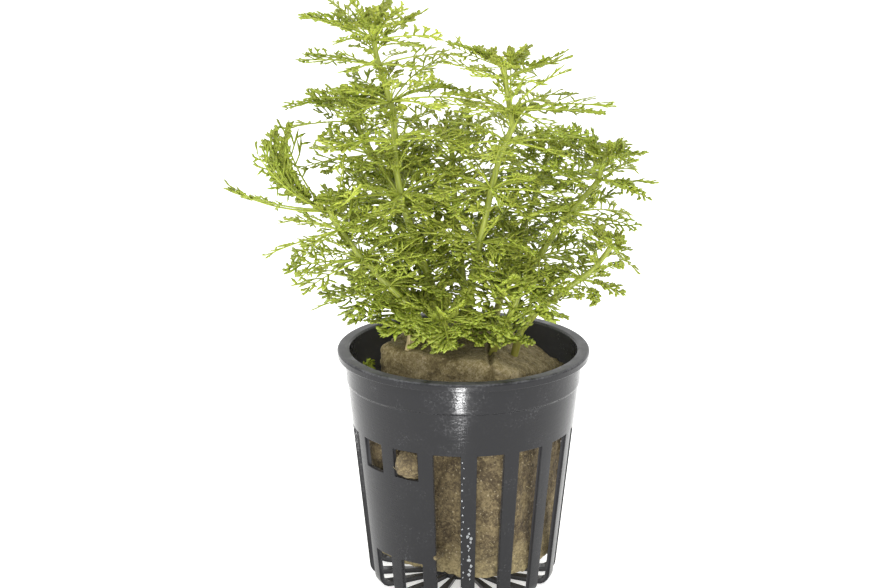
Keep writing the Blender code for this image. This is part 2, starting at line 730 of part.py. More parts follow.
def make_stray_leaf(parts):
    """A torn bit of leaf that is caught between the rock wool and the wall."""
    green = material("torn_leaf_green", (0.28, 0.38, 0.08), 0.6)
    data = bpy.data.curves.new("stray_leaf", "CURVE")
    data.dimensions = "2D"
    data.fill_mode = "BOTH"
    data.extrude = BLADE_THICK / 2 * MM
    spline = data.splines.new("POLY")
    spline.points.add(len(STRAY_OUTLINE) - 1)
    spline.use_cyclic_u = True
    for knot, (x, y) in zip(spline.points, STRAY_OUTLINE):
        knot.co = (x * MM, y * MM, 0.0, 1.0)
    leaf = add_object("stray_leaf", data, parts)
    leaf.location = Vector(STRAY_PLACE) * MM
    leaf.rotation_euler = [math.radians(turn) for turn in STRAY_LEAN]
    bpy.context.view_layer.update()
    baked(leaf, parts).data.materials.append(green)


def main():
    clear_scene()
    parts = new_collection("giant_ambulia")
    cutters = new_collection("cutters")
    pot = make_pot(parts, cutters)
    wool_finish = material("rock_wool", (0.24, 0.19, 0.1), 0.95)
    wool = wool_body(parts, wool_finish)
    boolean(wool, wool_tuft(cutters), "UNION")
    make_stub(parts, cutters, wool)
    make_stray_leaf(parts)
    make_shoots(parts, cutters, wool, pot)


main()
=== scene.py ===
"""Giant ambulia: fine-leaved shoots rooted in a block of rock wool, in a slotted net pot.

The pot stands on Z = 0 with its axis on the Z axis, and its front is towards -Y. Shapes are worked
out in millimetres and turned to metres when they become meshes.
"""

import functools
import itertools
import math
import re

import bmesh
import bpy
import numpy as np
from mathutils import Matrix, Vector


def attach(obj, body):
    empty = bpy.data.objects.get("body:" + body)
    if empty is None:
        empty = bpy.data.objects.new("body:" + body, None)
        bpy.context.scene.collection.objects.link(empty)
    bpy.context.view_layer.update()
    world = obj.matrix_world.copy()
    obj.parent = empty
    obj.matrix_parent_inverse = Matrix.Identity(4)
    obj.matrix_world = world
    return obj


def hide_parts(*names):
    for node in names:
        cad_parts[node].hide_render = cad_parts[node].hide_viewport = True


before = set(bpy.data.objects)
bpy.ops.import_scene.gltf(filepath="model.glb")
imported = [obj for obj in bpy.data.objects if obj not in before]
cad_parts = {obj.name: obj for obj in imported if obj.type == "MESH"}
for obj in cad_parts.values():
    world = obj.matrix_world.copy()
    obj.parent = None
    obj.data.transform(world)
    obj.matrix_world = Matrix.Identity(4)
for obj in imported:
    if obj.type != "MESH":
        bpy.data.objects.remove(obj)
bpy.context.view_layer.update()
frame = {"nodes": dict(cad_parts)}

bl_info = {
    "name": "Giant Ambulia in a Net Pot",
    "version": (1, 0, 0),
    "blender": (4, 5, 0),
    "location": "View3D > Sidebar > Ambulia",
    "description": "Builds the plant, its rock wool and its net pot round the packed frame",
    "category": "Add Mesh",
}

MM = 0.001
UP = np.array([0.0, 0.0, 1.0])

# Net pot, in millimetres and degrees
SLOTS = 16
SLOT_STEP = 360.0 / SLOTS
SLOT_WIDTH = 14.2
FIRST_SLOT = -98.9
SLOT_REACH = 5.0
SLOT_TOP = 34.0
SLOT_CELLS = 6
RIB_CELLS = 4
LABEL_SLOTS = (14, 15)
LABEL_FOOT = 9.2
LABEL_TOP = 27.9
WALL = 1.0
CORNER = 2.8
CORNER_STEPS = 5
WALL_FOOT_RADIUS = 19.7
WALL_TOP_RADIUS = 23.9
COLLAR_FOOT = 43.0
# Where the floor and the wall have rows of points
FLOOR_RADII = (0.0, 2.5, SLOT_REACH, 9.0, 13.0)
WALL_HEIGHTS = (6.0, LABEL_FOOT, 12.5, 16.0, 20.0, 24.0, LABEL_TOP, 31.0, SLOT_TOP, 37.0, 40.0,
                COLLAR_FOOT)
RIM_PROFILE = ((24.15, 43.25), (24.3, 46.0), (24.5, 49.0), (25.3, 49.0), (25.3, 48.4),
               (25.95, 48.4), (26.0, 49.6), (25.7, 50.0), (24.7, 50.05), (23.7, 50.0),
               (23.4, 49.7), (23.25, 46.5), (23.1, 43.3))
INSIDE_RIM_POINTS = 3
EDGE_ROUND = 0.2
EDGE_ANGLE = 38

# Runs of drops on the rib in front: lowest and highest, count, direction and its spread, and the
# smallest and largest half width
FRONT_RIB = FIRST_SLOT + SLOT_STEP / 2
DROP_RUNS = (
    (7.0, 18.0, 16, FRONT_RIB + 0.6, 1.2, 0.16, 0.36),
    # The second run, small and close along the rib's left edge, is a painted highlight: white drops
    # standing for that edge's glint.
    (5.0, 33.0, 18, FRONT_RIB - 3.1, 0.7, 0.1, 0.2),
)
# Rows and columns of a drop, and how much flatter and longer than a ball it is
DROP_GRID = (9, 14)
DROP_FLAT = 0.45
DROP_HANG = 0.15

# Rock wool
WOOL_FOOT = 5.7
WOOL_TOP = 52.0
WOOL_CENTRE = np.array([2.1, 0.0, 0.0])
WOOL_TURN = 17.5
WOOL_DIAGONAL = 19.8
WOOL_SQUARE = 10.0
WOOL_ROUND = 4.5
WOOL_SQUARE_FROM = 48.0
WOOL_ROUND_BELOW = 36.0
WOOL_TILT_FROM = 40.0
WOOL_SLOPE_START = 6.0
WOOL_SLOPE = 0.5
WOOL_GAP = 0.45
WOOL_EDGE = 1.3
WOOL_COLUMNS = 300
WOOL_LEVELS = 150
WOOL_DISCS = 40
# Lumps pressed out of its side: direction and height, reach, half width and half height, and the
# radius that each starts from. The first fills the window above the label panel.
WOOL_LUMPS = (
    (FIRST_SLOT - SLOT_STEP, 30.6, (5.6, 3.2, 3.5), 18.6),
    (-163.0, 30.5, (5.2, 6.4, 7.5), 15.8),
    (-106.6, 11.2, (4.6, 1.1, 1.3), 16.4),
)
# Lumps press out only what lies this far from the axis, and wholly after the span
SIDE_FROM, SIDE_SPAN = 12.0, 2.0
# Depth, size and seed of each noise
WOOL_NOISE = ((0.30, 1.1, 1), (0.34, 3.1, 2), (0.40, 8.0, 3), (0.14, 0.55, 4))
# The crease in front: place along X, width, depth, and the height that it starts at and deepens in
WOOL_CREASE = (5.2, 0.5, 0.9, 40.0, 6.0)
FIBRE_WIDTHS = 0.05 * np.array([1, 1, 0.9, 0.7, 0])
FIBRES_ABOVE = 12.0

# Shoots: the route of each stem from the top of the rock wool to its tip
STEM_ROOT = 6.0
STEM_FOOT_RADIUS = 0.9
STEM_TIP_RADIUS = 0.5
STEM_ROUNDING = 0.9
STEM_BROWN = 9.0
STEM_YOUNG = 0.1
STEM_POINT = 0.02
# Share of the radius, size and seed of a stem's unevenness
STEM_NOISE = (0.05, 4.0, 7)
ROUTES = {
    "tall_left": [(-3, 2, 50), (-4.5, 2, 57), (-8, 1, 67), (-12.4, 0, 80), (-13.9, 0, 91),
                  (-14.2, 0, 100), (-17, 0, 108), (-18.4, 0, 117)],
    "tall_right": [(2, -2, 50), (1, -3, 58), (2.5, -3, 69), (4.8, -3, 80), (6.6, -3, 89),
                   (9.6, -3, 96), (8.7, -3, 102), (7.6, -3, 110)],
    "right": [(9, 1, 48), (9.5, 1, 56), (12.5, 0, 64), (17.6, -1, 73), (21, -1, 78),
              (25.6, -1, 83), (28, -1, 87), (28.6, -1, 91.5)],
    "low_right": [(10, -5, 48), (12, -6, 56), (17.5, -7, 62), (25, -8, 67.5), (30, -8, 74)],
    "left": [(-6, -3, 50), (-9.5, -4, 58), (-15.5, -5, 64.5), (-19.5, -5, 69),
             (-23.4, -5, 73.5), (-27, -5, 79.5), (-27.6, -5, 81)],
    "upper_left": [(-5.5, 7, 50), (-7, 8, 60), (-10, 8, 72), (-13.8, 7, 81), (-18, 6, 88),
                   (-21.2, 6, 94), (-23.4, 6, 100.5)],
    "middle": [(1, 5, 50), (0, 6, 62), (-1.6, 7, 76), (-2.6, 7, 94)],
    "back_right": [(6, 8, 48), (8, 11, 58), (12, 14, 70), (16, 16, 80), (18, 17, 88)],
    "back_left": [(-5, 11, 50), (-8, 14, 60), (-13, 17, 71), (-16, 18, 82)],
    "front": [(-1.5, -7, 50), (-3, -10, 56), (-4.6, -13, 60.5)],
    "low_left": [(-8.5, 2, 50), (-13, 1, 57), (-18.5, 0, 62)],
    "front_right": [(5.5, -8, 50), (7.5, -10, 56), (10.5, -12, 63), (12, -13, 68)],
}
ROUTE_SHARES = 21
CAD_STEM_STEP = 6.5
STEM_STEP = 0.6
STEM_SIDES = 16
NODE_SWELL = 0.2
NODE_LENGTH = 0.9

# What a packed whorl is told by: its blades' size, the hub, and how closely corners have to fit
LEAF_THICK = 0.5
BLADE_WIDE = 4.0
BLADE_WIDEST = 0.62
BORE_CORNERS = 6
HUB_RING = 0.7
HUB_SLACK = 0.3
THICK_SLACK = 0.004
BLADE_SLACK = 0.02
PLANE_SLACK = 0.03

# Midribs: stations, half width for a leaf of that length, how it tapers, flatness and tone
RIB_STATIONS = np.array([0, 0.06, 0.13, 0.22, 0.33, 0.45, 0.57, 0.69, 0.81, 0.92, 1.0])
RIB_SIDES = 5
RIB_LENGTH = 15.0
RIB_RANGE = (0.6, 1.1)
RIB_THICK = 0.27
RIB_TAPER = 0.14
RIB_FLAT = 0.85
RIB_TONE = 0.45
RIB_TIP_TONE = 0.5
# Corners of a side branch's, a lobe's and a fibre's section
THIN_SIDES = 3
# Side branches: places along the midrib and angles from it
PAIRS = 5
FIRST_PAIR = 0.42
LAST_PAIR = 0.92
PAIR_STAGGER = 0.012
WIDEST_ANGLE = 60
CLOSING_ANGLE = 28
SHORTEST_BRANCH = 1.5
BRANCH_STATIONS = np.array([0, 0.36, 0.7, 1.0])
BRANCH_WIDTHS = np.array([0.55, 0.7, 1.0, 0.0])
BRANCH_FLAT = 0.5
BRANCH_TONES = np.append(np.repeat(0.42 + 0.3 * BRANCH_STATIONS[:-1], THIN_SIDES), 0.85)
# Lobes of each side branch
LOBE_STATIONS = np.array([0, 0.5, 1.0])
LOBE_WIDTHS = np.array([0.6, 1.0, 0.0])
LOBE_FLAT = 0.45
LOBE_PLACES = np.array([0.36, 0.66])
LOBE_SIDES = np.array([1, -1])
LOBE_TAPER = 0.45
LOBE_TONES = np.append(np.repeat([0.55, 0.7], THIN_SIDES), 0.95)
SHORTEST_LOBE = 0.5

# Leaves between two of the CAD part's: lowest and highest slant, least and greatest size
EXTRA_LEAVES = ((0.25, 1.1, 0.6, 0.9), (-0.4, 0.3, 0.6, 0.95))
OPEN_ABOVE = 92.0
# Whorls in the open, without more leaves than the CAD part's
OPEN_WHORLS = ("left_1", "tall_left_3", "tall_right_2")
ROOT_RADIUS = 0.45
TIP_LEAVES = 6
TIP_KNEE = (0.45, 0.25)
# Bunches on the stem between two whorls
SHOOT_LEAVES = 8
BUNCH_RANGE = (8.0, 14.0)
BUNCH_RADIUS = 0.4
BUNCH_BEND = 0.3

# Lowest and highest of all that chance decides: of the drops, the loose fibres, the added leaves,
# those at a tip, the bunches, a blade, its branches and its lobes. Rolls, twists, angles and rises
# are in degrees, turns and droops in radians, and the others in millimetres or shares.
CHANCES = {
    "drop_height": (-0.4, 0.4),
    "fibre_length": (0.8, 2.2), "fibre_curl": (-0.5, 0.5), "fibre_lift": (0.05, 0.38),
    "between": (0.3, 0.7), "droop": (0.0, 0.35),
    "tip_turn": (-0.3, 0.3), "tip_length": (2.0, 3.6), "tip_rise": (48, 78),
    "bunch_turn": (-0.5, 0.5), "bunch_length": (0.45, 0.8), "bunch_rise": (5, 60),
    "bunch_height": (-1.5, 1.5),
    "roll": (-35, 35), "twist": (-40, 40), "blade": (0.8, 1.2), "tone": (-0.25, 0.35),
    "place": (-0.03, 0.03), "angle": (-14, 14), "lift": (-0.02, 0.3), "branch": (0.55, 1.25),
    "bend": (0.0, 0.42), "sag": (-0.16, 0.12),
    "lobe_width": (0.8, 1.3), "lobe_place": (-0.05, 0.05), "lobe_angle": (20, 52),
    "lobe_lift": (-0.25, 0.35), "lobe_length": (0.55, 0.8),
}

# What starts each draw of random numbers
SEEDS = {"drops": 11, "fibres": 5, "shoots": 23, "stray": 3}

# Leaves whose lobes are still folded together, which stand out dark and narrow: the whorl, the
# leaf's knee and tip, the way its branches spread, its longest branch as a share of its length,
# its pairs of branches and the place of the first pair
UPRIGHT = (0.8, -0.2, 0.55)
LEVEL = (0.15, -0.85, 0.5)
FOLDED_LEAVES = (
    ("left_1", (-38.9, -6.0, 84.6), (-37.6, -6.0, 98.0), UPRIGHT, 0.16, 26, 0.14),
    ("left_1", (-38.2, -6.8, 84.6), (-35.2, -6.4, 96.6), UPRIGHT, 0.15, 24, 0.16),
    ("left_1", (-39.2, -5.4, 83.8), (-39.6, -6.2, 95.6), UPRIGHT, 0.11, 20, 0.2),
    ("left_1", (-38.6, -6.4, 84.2), (-38.4, -6.8, 96.4), LEVEL, 0.17, 22, 0.14),
    ("left_1", (-37.4, -6.0, 80.4), (-47.4, -6.2, 84.4), LEVEL, 0.15, 11, 0.45),
    ("tall_left_2", (-24.8, -0.6, 117.8), (-32.0, -1.0, 118.2), LEVEL, 0.2, 11, 0.3),
    ("tall_left_3", (-25.0, -0.6, 110.6), (-31.6, -1.0, 111.0), UPRIGHT, 0.2, 4, 0.5),
    ("tall_left_4", (-7.4, -1.0, 105.0), (-1.0, -1.4, 103.8), LEVEL, 0.2, 12, 0.2),
    ("tall_left_4", (-19.0, -1.0, 105.6), (-27.0, -2.0, 103.4), LEVEL, 0.2, 10, 0.2),
    ("upper_left_1", (-29.2, 1.0, 102.0), (-36.0, 0.0, 99.4), LEVEL, 0.2, 11, 0.2),
    ("tall_right_1", (3.6, -3.2, 111.6), (-3.2, -3.4, 113.4), LEVEL, 0.24, 12, 0.1),
    ("tall_right_1", (10.4, -4.2, 110.2), (14.6, -5.0, 109.0), LEVEL, 0.24, 7, 0.1),
    ("tall_right_2", (14.4, -3.2, 109.2), (20.4, -3.4, 112.0), LEVEL, 0.13, 9, 0.4),
    ("tall_right_3", (19.0, -3.4, 100.8), (28.4, -3.8, 99.2), LEVEL, 0.15, 18, 0.2),
    ("tall_right_3", (2.0, -3.6, 103.6), (-4.4, -4.0, 103.2), LEVEL, 0.18, 11, 0.25),
    ("tall_right_4", (17.0, -4.0, 97.0), (25.6, -5.0, 94.0), LEVEL, 0.16, 10, 0.3),
    ("right_1", (31.0, -2.0, 91.6), (35.6, -2.4, 91.0), LEVEL, 0.3, 7, 0.1),
    ("right_1", (25.0, -3.0, 94.6), (19.6, -4.0, 95.6), UPRIGHT, 0.3, 7, 0.3),
    ("right_2", (31.0, -4.0, 86.0), (37.0, -6.0, 82.4), UPRIGHT, 0.25, 7, 0.3),
    ("right_2", (22.0, -5.0, 88.6), (15.6, -8.0, 89.0), UPRIGHT, 0.25, 7, 0.3),
)
FOLDED_TONE = 0.6
FOLDED_TURNING = 0.4
# The lowest leaves grew under water and have lobes this much wider
LOW_WIDER = 0.55
LOW_FOOT, LOW_SPAN = 54.0, 16.0
# Leaves near the middle of the bunch are painted paler: painted light that lifts the shade inside the
# bunch.
MIDDLE_RADIUS = 22.0
MIDDLE_PAINTED_LIGHT = 0.55
# Leaves at this height are old, and a span higher they are young
OLD_BELOW, OLD_SPAN = 54.0, 22.0

# The dry stem end: where it stands, the (radius, height) profile of its walls, and the height from
# which it is torn. The stray leaf: root, knee, tip and side vector, and how old it looks.
STUB_FOOT = np.array([-11.5, -8.0, 49.0])
STUB_LEAN = np.array([0.18, 0.05, 1.0])
STUB_COLUMNS = 28
STUB_PROFILE = ((0, 0), (0.8, 0), (0.82, 2.0), (0.78, 4.0), (0.82, 5.2), (0.86, 6.0),
                (0.7, 6.15), (0.58, 5.8), (0.5, 4.9), (0.4, 4.4), (0, 4.2))
STUB_TORN_FROM, STUB_TORN_RISE = 4.6, 1.2
STRAY_CURVE = np.array([[(-20.1, -6.3, 44.6)], [(-19.8, -5.9, 46.4)], [(-18.9, -5.0, 48.2)],
                        [(0.95, -0.3, 0.0)]])
STRAY_AGE = 0.3

# Camera and lights, in metres, degrees and watts
CAMERA_TARGET = Vector((-0.0048, 0.0, 0.0611))
CAMERA_DISTANCE = 0.45
CAMERA_RISE = 15.9
LENS = 89.92
SENSOR = 36.0
STRIP_PLACE = Vector((-0.006, -0.2, 0.004))
# Name, place, width and height, power and target
LIGHTS = (
    ("key", (-0.03, -1.02, 0.48), (0.3, 0.42), 2.7, CAMERA_TARGET),
    ("fill_left", (-0.9, -0.15, 0.45), (0.5, 0.7), 2.5, CAMERA_TARGET),
    ("fill_right", (0.9, -0.1, 0.5), (0.5, 0.7), 1.9, CAMERA_TARGET),
    ("low_strip", STRIP_PLACE, (0.005, 0.2), 0.55, STRIP_PLACE + Vector(UP)),
)
WORLD_STRENGTH = 1.42

# How far red, green and blue light spread inside a leaf, as shares of the subsurface scale
GREEN_RADIUS = (0.7, 1.0, 0.2)
# What a Mix node needs for colours: its sockets are numbered because their names repeat
COLOUR_MIX = {"sockets": (0, 6, 7), "gives": 2, "data_type": "RGBA"}


def linear(hex_colour):
    """An sRGB hex colour as linear red, green, blue and alpha."""
    shares = [int(hex_colour[i:i + 2], 16) / 255 for i in (1, 3, 5)]
    return (*[c / 12.92 if c <= 0.04045 else ((c + 0.055) / 1.055) ** 2.4 for c in shares], 1.0)


def pattern_scale(size_mm):
    """Scale of a pattern on Object coordinates, which are metres, for features of that size."""
    return 1 / (size_mm * MM)


def tuft_place():
    """Middle of the tuft of wool in the window, in millimetres."""
    lead, height, size, start = WOOL_LUMPS[0]
    return Vector(turned(start + size[0] / 2, math.radians(lead), height))


def unit(vectors):
    """The vectors again, each one long."""
    return vectors / np.linalg.norm(vectors, axis=-1, keepdims=True)


def fill(tree, node, inputs):
    """Links or sets a node's sockets, which are told by number or by name."""
    for key, value in inputs.items():
        if isinstance(value, bpy.types.NodeSocket):
            tree.links.new(value, node.inputs[key])
        else:
            node.inputs[key].default_value = value


def add_node(tree, kind, *values, gives=0, sockets=range(3), stops=(), **named):
    """Adds a node and returns the socket that it gives. Values fill the numbered sockets in turn.
    A named value with a capital fills the socket of that name, and any other sets the node itself.
    Stops are places and colours along a ramp."""
    made = tree.nodes.new("ShaderNode" + kind)
    for key in filter(str.islower, named):
        setattr(made, key, named[key])
    ramp = made.color_ramp.elements if stops else ()
    while len(ramp) < len(stops):
        ramp.new(0.5)
    for element, (place, tint) in zip(ramp, stops):
        element.position = place
        element.color = tint
    fill(tree, made, dict(zip(sockets, values)))
    fill(tree, made, {key.replace("_", " "): named[key] for key in named if not key.islower()})
    return made.outputs[gives]


def new_material(finish):
    """A material named for its finish, whose Principled shader takes the values and links that the
    finish gives. A finish gets a function that adds a node, the Object coordinates and the colours."""
    made = bpy.data.materials.new(finish.__name__)
    made.use_nodes = True
    node = functools.partial(add_node, made.node_tree)
    given = finish(node, node("TexCoord", gives="Object"), bpy.context.scene.ambulia_looks)
    fill(made.node_tree, made.node_tree.nodes["Principled BSDF"], given)
    return made


# Materials

def moulded_black_polypropylene(node, place, looks):
    """Black polypropylene, injection moulded: a satin skin, dulled by handling and dried splashes."""
    height = node("SeparateXYZ", place, gives="Z")
    # Splashes and dust dry on as grey patches of about 5 mm with grains of 0.5 mm in them.
    patch = node("TexNoise", Vector=place, Scale=pattern_scale(5.0), Detail=4.0)
    grain = node("TexNoise", Vector=place, Scale=pattern_scale(0.5), Detail=3.0)
    dust = node("Math", patch, grain, operation="MULTIPLY")
    # The top of the flange, from 49.5 mm up, is painted grey in patches: partly real scuffs, partly a
    # painted sheen standing for its grazing reflection.
    on_flange = node("MapRange", height, From_Min=49.5 * MM, From_Max=49.9 * MM)
    scuff_and_sheen = node("Math", on_flange, patch, operation="MULTIPLY")
    dust_scuff_and_sheen = node("Math", scuff_and_sheen, 0.55, dust, operation="MULTIPLY_ADD")
    grey = node("ValToRGB", dust_scuff_and_sheen, stops=(
        (0.26, looks.plastic), (0.40, looks.dusty_plastic), (0.62, looks.scuff_and_sheen_plastic)))
    # The inside is painted paler: painted light that lifts the shade inside the pot.
    inside = node("Attribute", gives="Fac", attribute_name="inside")
    inside_lightened = node("Mix", inside, grey, looks.inside_lightened_plastic, **COLOUR_MIX)
    rough = node("MapRange", dust_scuff_and_sheen, From_Min=0.25, From_Max=0.6, To_Min=0.15, To_Max=0.5)
    # Handling leaves fine scratches round the pot, about 0.3 mm apart and 5 mm long.
    flat = node("Mapping", Vector=place, Scale=(1.0, 1.0, 18.0))
    scratch = node("TexNoise", Vector=flat, Scale=pattern_scale(5.0), Detail=5.0)
    scratched = node("Bump", Height=scratch, Strength=0.22, Distance=0.12 * MM)
    skin = node("Bump", Height=grain, Strength=0.4, Distance=0.05 * MM, Normal=scratched)
    return {"Base Color": inside_lightened, "Roughness": rough, "IOR": 1.49, "Specular IOR Level": 0.27,
            "Normal": skin}


def pressed_rock_wool(node, place, looks):
    """Rock wool, spun and pressed: matt khaki fibres with pale beads of slag, painted shade in its
    hollows, and a top that is tinted olive and painted lighter.
    """
    height = node("SeparateXYZ", place, gives="Z")
    # Clumps of about 5 mm, and matted fibres that show as grain of 0.6 mm.
    clump = node("TexNoise", Vector=place, Scale=pattern_scale(5.0), Detail=4.0, Roughness=0.65)
    fibre = node("TexNoise", Vector=place, Scale=pattern_scale(0.6), Detail=5.0, Roughness=0.85)
    clumped = node("Math", clump, 0.38, operation="MULTIPLY")
    matted = node("Math", fibre, 0.62, clumped, operation="MULTIPLY_ADD")
    # The dark stop falls where the fibre bump is lowest: painted shade in the hollows between clumps.
    khaki = node("ValToRGB", matted, stops=(
        (0.41, looks.hollow_shade_wool), (0.49, looks.wool), (0.58, looks.pale_wool)))
    # The top is painted olive brown and lighter: partly an algae tint, partly painted light falling on
    # it from above.
    top = node("MapRange", height, From_Min=38 * MM, From_Max=50 * MM, To_Max=0.9)
    olive_lit_top = node("ValToRGB", matted, stops=(
        (0.40, looks.olive_top_hollow_shade_wool), (0.50, looks.olive_lit_top_wool), (0.62, looks.slag_bead)))
    tinted = node("Mix", top, khaki, olive_lit_top, **COLOUR_MIX)
    # The foot is painted pale yellow in patches, partly faded where it dried out and partly painted
    # light from below, and the tuft in the window a little, where it dried.
    foot = node("MapRange", height, From_Min=14 * MM, From_Max=6 * MM, To_Max=0.9)
    to_tuft = node("VectorMath", place, tuft_place() * MM, gives="Value", operation="DISTANCE")
    tuft = node("MapRange", to_tuft, From_Min=5 * MM, From_Max=2.5 * MM, To_Max=0.1)
    dried = node("Math", foot, tuft, operation="MAXIMUM")
    uneven = node("MapRange", matted, From_Min=0.42, From_Max=0.58, To_Min=0.25)
    patchy = node("Math", dried, uneven, operation="MULTIPLY")
    paled = node("Mix", patchy, tinted, looks.pale_yellow_wool, **COLOUR_MIX)
    # Beads of slag that weren't drawn into fibre: pale grains of all sizes, about 0.7 mm apart.
    bead = node("TexVoronoi", Vector=place, Scale=pattern_scale(0.7), gives="Distance")
    own = node("SeparateColor", bead.node.outputs["Color"], gives="Red")
    edge = node("Math", own, 0.34, operation="MULTIPLY")
    is_bead = node("MapRange", bead, From_Min=edge, From_Max=0.0, To_Max=1.3)
    beaded = node("Mix", is_bead, paled, looks.slag_bead, **COLOUR_MIX)
    bump = node("Bump", Height=fibre, Strength=0.8, Distance=0.3 * MM)
    return {"Base Color": beaded, "Roughness": 0.9, "IOR": 1.5, "Normal": bump}


def drawn_slag_fibre(node, place, looks):
    """Single slag fibres, drawn thin: pale, with a faint glassy gleam."""
    change = node("TexNoise", Vector=place, Scale=pattern_scale(3.0))
    tone = node("ValToRGB", change, stops=((0.35, looks.wool), (0.65, looks.pale_yellow_wool)))
    return {"Base Color": tone, "Roughness": 0.6, "IOR": 1.5}


def living_stem_waxy_skin(node, place, looks):
    """Living stem with a waxy skin: yellow green, lengthwise streaks, browned where it was wet."""
    # Streaks run up the stem: 0.5 mm apart and about 6 mm long.
    up = node("Mapping", Vector=place, Scale=(1.0, 1.0, 0.08))
    streak = node("TexNoise", Vector=up, Scale=pattern_scale(0.5), Detail=3.0)
    # Raised streaks take the lit green and sunken ones the darker green: painted light and shade along
    # the ridges.
    green = node("ValToRGB", streak, stops=((0.30, looks.stem_shade), (0.62, looks.stem)))
    # The foot has browned in blotches of 3.5 mm.
    age = node("Attribute", gives="Fac", attribute_name="age")
    blotch = node("TexNoise", Vector=place, Scale=pattern_scale(3.5), Detail=3.0)
    browned = node("Math", age, blotch, operation="MULTIPLY")
    skin = node("Mix", browned, green, looks.old_stem, **COLOUR_MIX)
    bump = node("Bump", Height=streak, Strength=0.5, Distance=0.1 * MM)
    return {"Base Color": skin, "Roughness": 0.38, "IOR": 1.42, "Normal": bump,
            "Subsurface Weight": 0.2, "Subsurface Scale": 0.6 * MM,
            "Subsurface Radius": GREEN_RADIUS}


def living_leaf_soft_skin(node, place, looks):
    """Living leaf, thin and soft: bright midribs, olive lobes, light passing through the edges."""
    tone = node("Attribute", gives="Fac", attribute_name="tone")
    age = node("Attribute", gives="Fac", attribute_name="age")
    # Each leaf is patchy over 2 mm, as its cells hold more or less green.
    patch = node("TexNoise", Vector=place, Scale=pattern_scale(2.0), Detail=3.0)
    level = node("Math", tone, 0.35, operation="SUBTRACT")
    shifted = node("Math", patch, 0.7, level, operation="MULTIPLY_ADD")
    young = node("ValToRGB", shifted, stops=(
        (0.0, looks.rib), (0.45, looks.leaf), (1.0, looks.leaf_shade)))
    # The lower a leaf, the older and darker it is.
    darkening = node("Math", age, 0.55, operation="MULTIPLY")
    green = node("Mix", darkening, young, looks.old_leaf, **COLOUR_MIX)
    return {"Base Color": green, "Roughness": 0.5, "IOR": 1.42, "Subsurface Weight": 0.3,
            "Subsurface Scale": 0.5 * MM, "Subsurface Radius": GREEN_RADIUS}


def dead_stem_dried(node, place, looks):
    """A dead stem end, dried out: pale straw with grey lengthwise cracks."""
    # Cracks run up the stem: 0.4 mm apart and about 3 mm long.
    up = node("Mapping", Vector=place, Scale=(1.0, 1.0, 0.12))
    crack = node("TexNoise", Vector=up, Scale=pattern_scale(0.4), Detail=4.0)
    straw = node("ValToRGB", crack, stops=((0.38, looks.straw_shade), (0.60, looks.straw)))
    bump = node("Bump", Height=crack, Strength=0.6, Distance=0.2 * MM)
    return {"Base Color": straw, "Roughness": 0.8, "IOR": 1.45, "Normal": bump}


def water_drop_painted_glint(node, place, looks):
    """Drops of water, held round by their skin: half clear, half white, the white a painted glint."""
    ripple = node("TexNoise", Vector=place, Scale=pattern_scale(0.7))
    bump = node("Bump", Height=ripple, Strength=0.2, Distance=0.05 * MM)
    # Painted highlight: the white base under the clear part makes each drop read as a glint.
    return {"Base Color": looks.water, "Roughness": 0.06, "IOR": 1.333,
            "Transmission Weight": 0.75, "Normal": bump}


def backdrop_paper_matt(node, place, looks):
    """Backdrop paper over a light table: near white, matt, with a faint glow."""
    grain = node("TexNoise", Vector=place, Scale=pattern_scale(1.0))
    bump = node("Bump", Height=grain, Strength=0.05, Distance=0.1 * MM)
    return {"Base Color": looks.floor, "Roughness": 0.95, "Normal": bump,
            "Emission Color": looks.floor, "Emission Strength": 0.5}


# Surfaces

def chance(draw, what, size=None):
    """Random numbers between the lowest and the highest that CHANCES gives."""
    return draw.uniform(*CHANCES[what], size)


def lattice_noise(points, size, seed):
    """Smooth noise from -1 to 1: hashed values on a cubic lattice, blended between its corners with
    weights s^2 (3 - 2s), where s is the share of the way along a cell."""
    primes = np.array([73856093, 19349663, 83492791])
    spot = points / size
    cell = np.floor(spot).astype(np.int64)
    share = spot - cell
    share = share * share * (3 - 2 * share)
    total = np.zeros(points.shape[:-1])
    for corner in itertools.product((0, 1), repeat=3):
        scrambled = np.bitwise_xor.reduce((cell + corner) * primes, axis=-1) ^ (seed * 97561)
        scrambled = (scrambled ^ (scrambled >> 13)) * 1274126177 & 0xFFFFFFFF
        value = ((scrambled ^ (scrambled >> 16)) & 0xFFFF) / 0x7FFF - 1
        total += value * np.prod(np.where(corner, share, 1 - share), axis=-1)
    return total


def grid_quads(rows, columns):
    """Quads of a grid of points, row by row, whose last column joins the first."""
    low = np.arange(rows - 1)[:, None] * columns
    column = np.arange(columns)
    after = (column + 1) % columns
    quads = np.stack([low + column, low + after, low + columns + after, low + columns + column], axis=-1)
    return quads.reshape(-1, 4)


def new_mesh(name, points, quads, triangles=None, **values):
    """A smooth-shaded mesh from arrays in millimetres, with named values per point."""
    faces = [quads] if triangles is None else [quads, triangles]
    loops = np.concatenate([part.ravel() for part in faces]).astype(np.int32)
    sizes = np.concatenate([np.full(len(part), part.shape[1]) for part in faces])
    starts = np.concatenate([[0], np.cumsum(sizes)[:-1]]).astype(np.int32)
    mesh = bpy.data.meshes.new(name)
    mesh.vertices.add(len(points))
    mesh.vertices.foreach_set("co", (points * MM).astype(np.float32).ravel())
    mesh.loops.add(len(loops))
    mesh.loops.foreach_set("vertex_index", loops)
    mesh.polygons.add(len(starts))
    mesh.polygons.foreach_set("loop_start", starts)
    mesh.polygons.foreach_set("use_smooth", np.ones(len(starts), dtype=bool))
    mesh.update(calc_edges=True)
    for key, value in values.items():
        layer = mesh.attributes.new(key, "FLOAT", "POINT")
        layer.data.foreach_set("value", value.astype(np.float32))
    return mesh


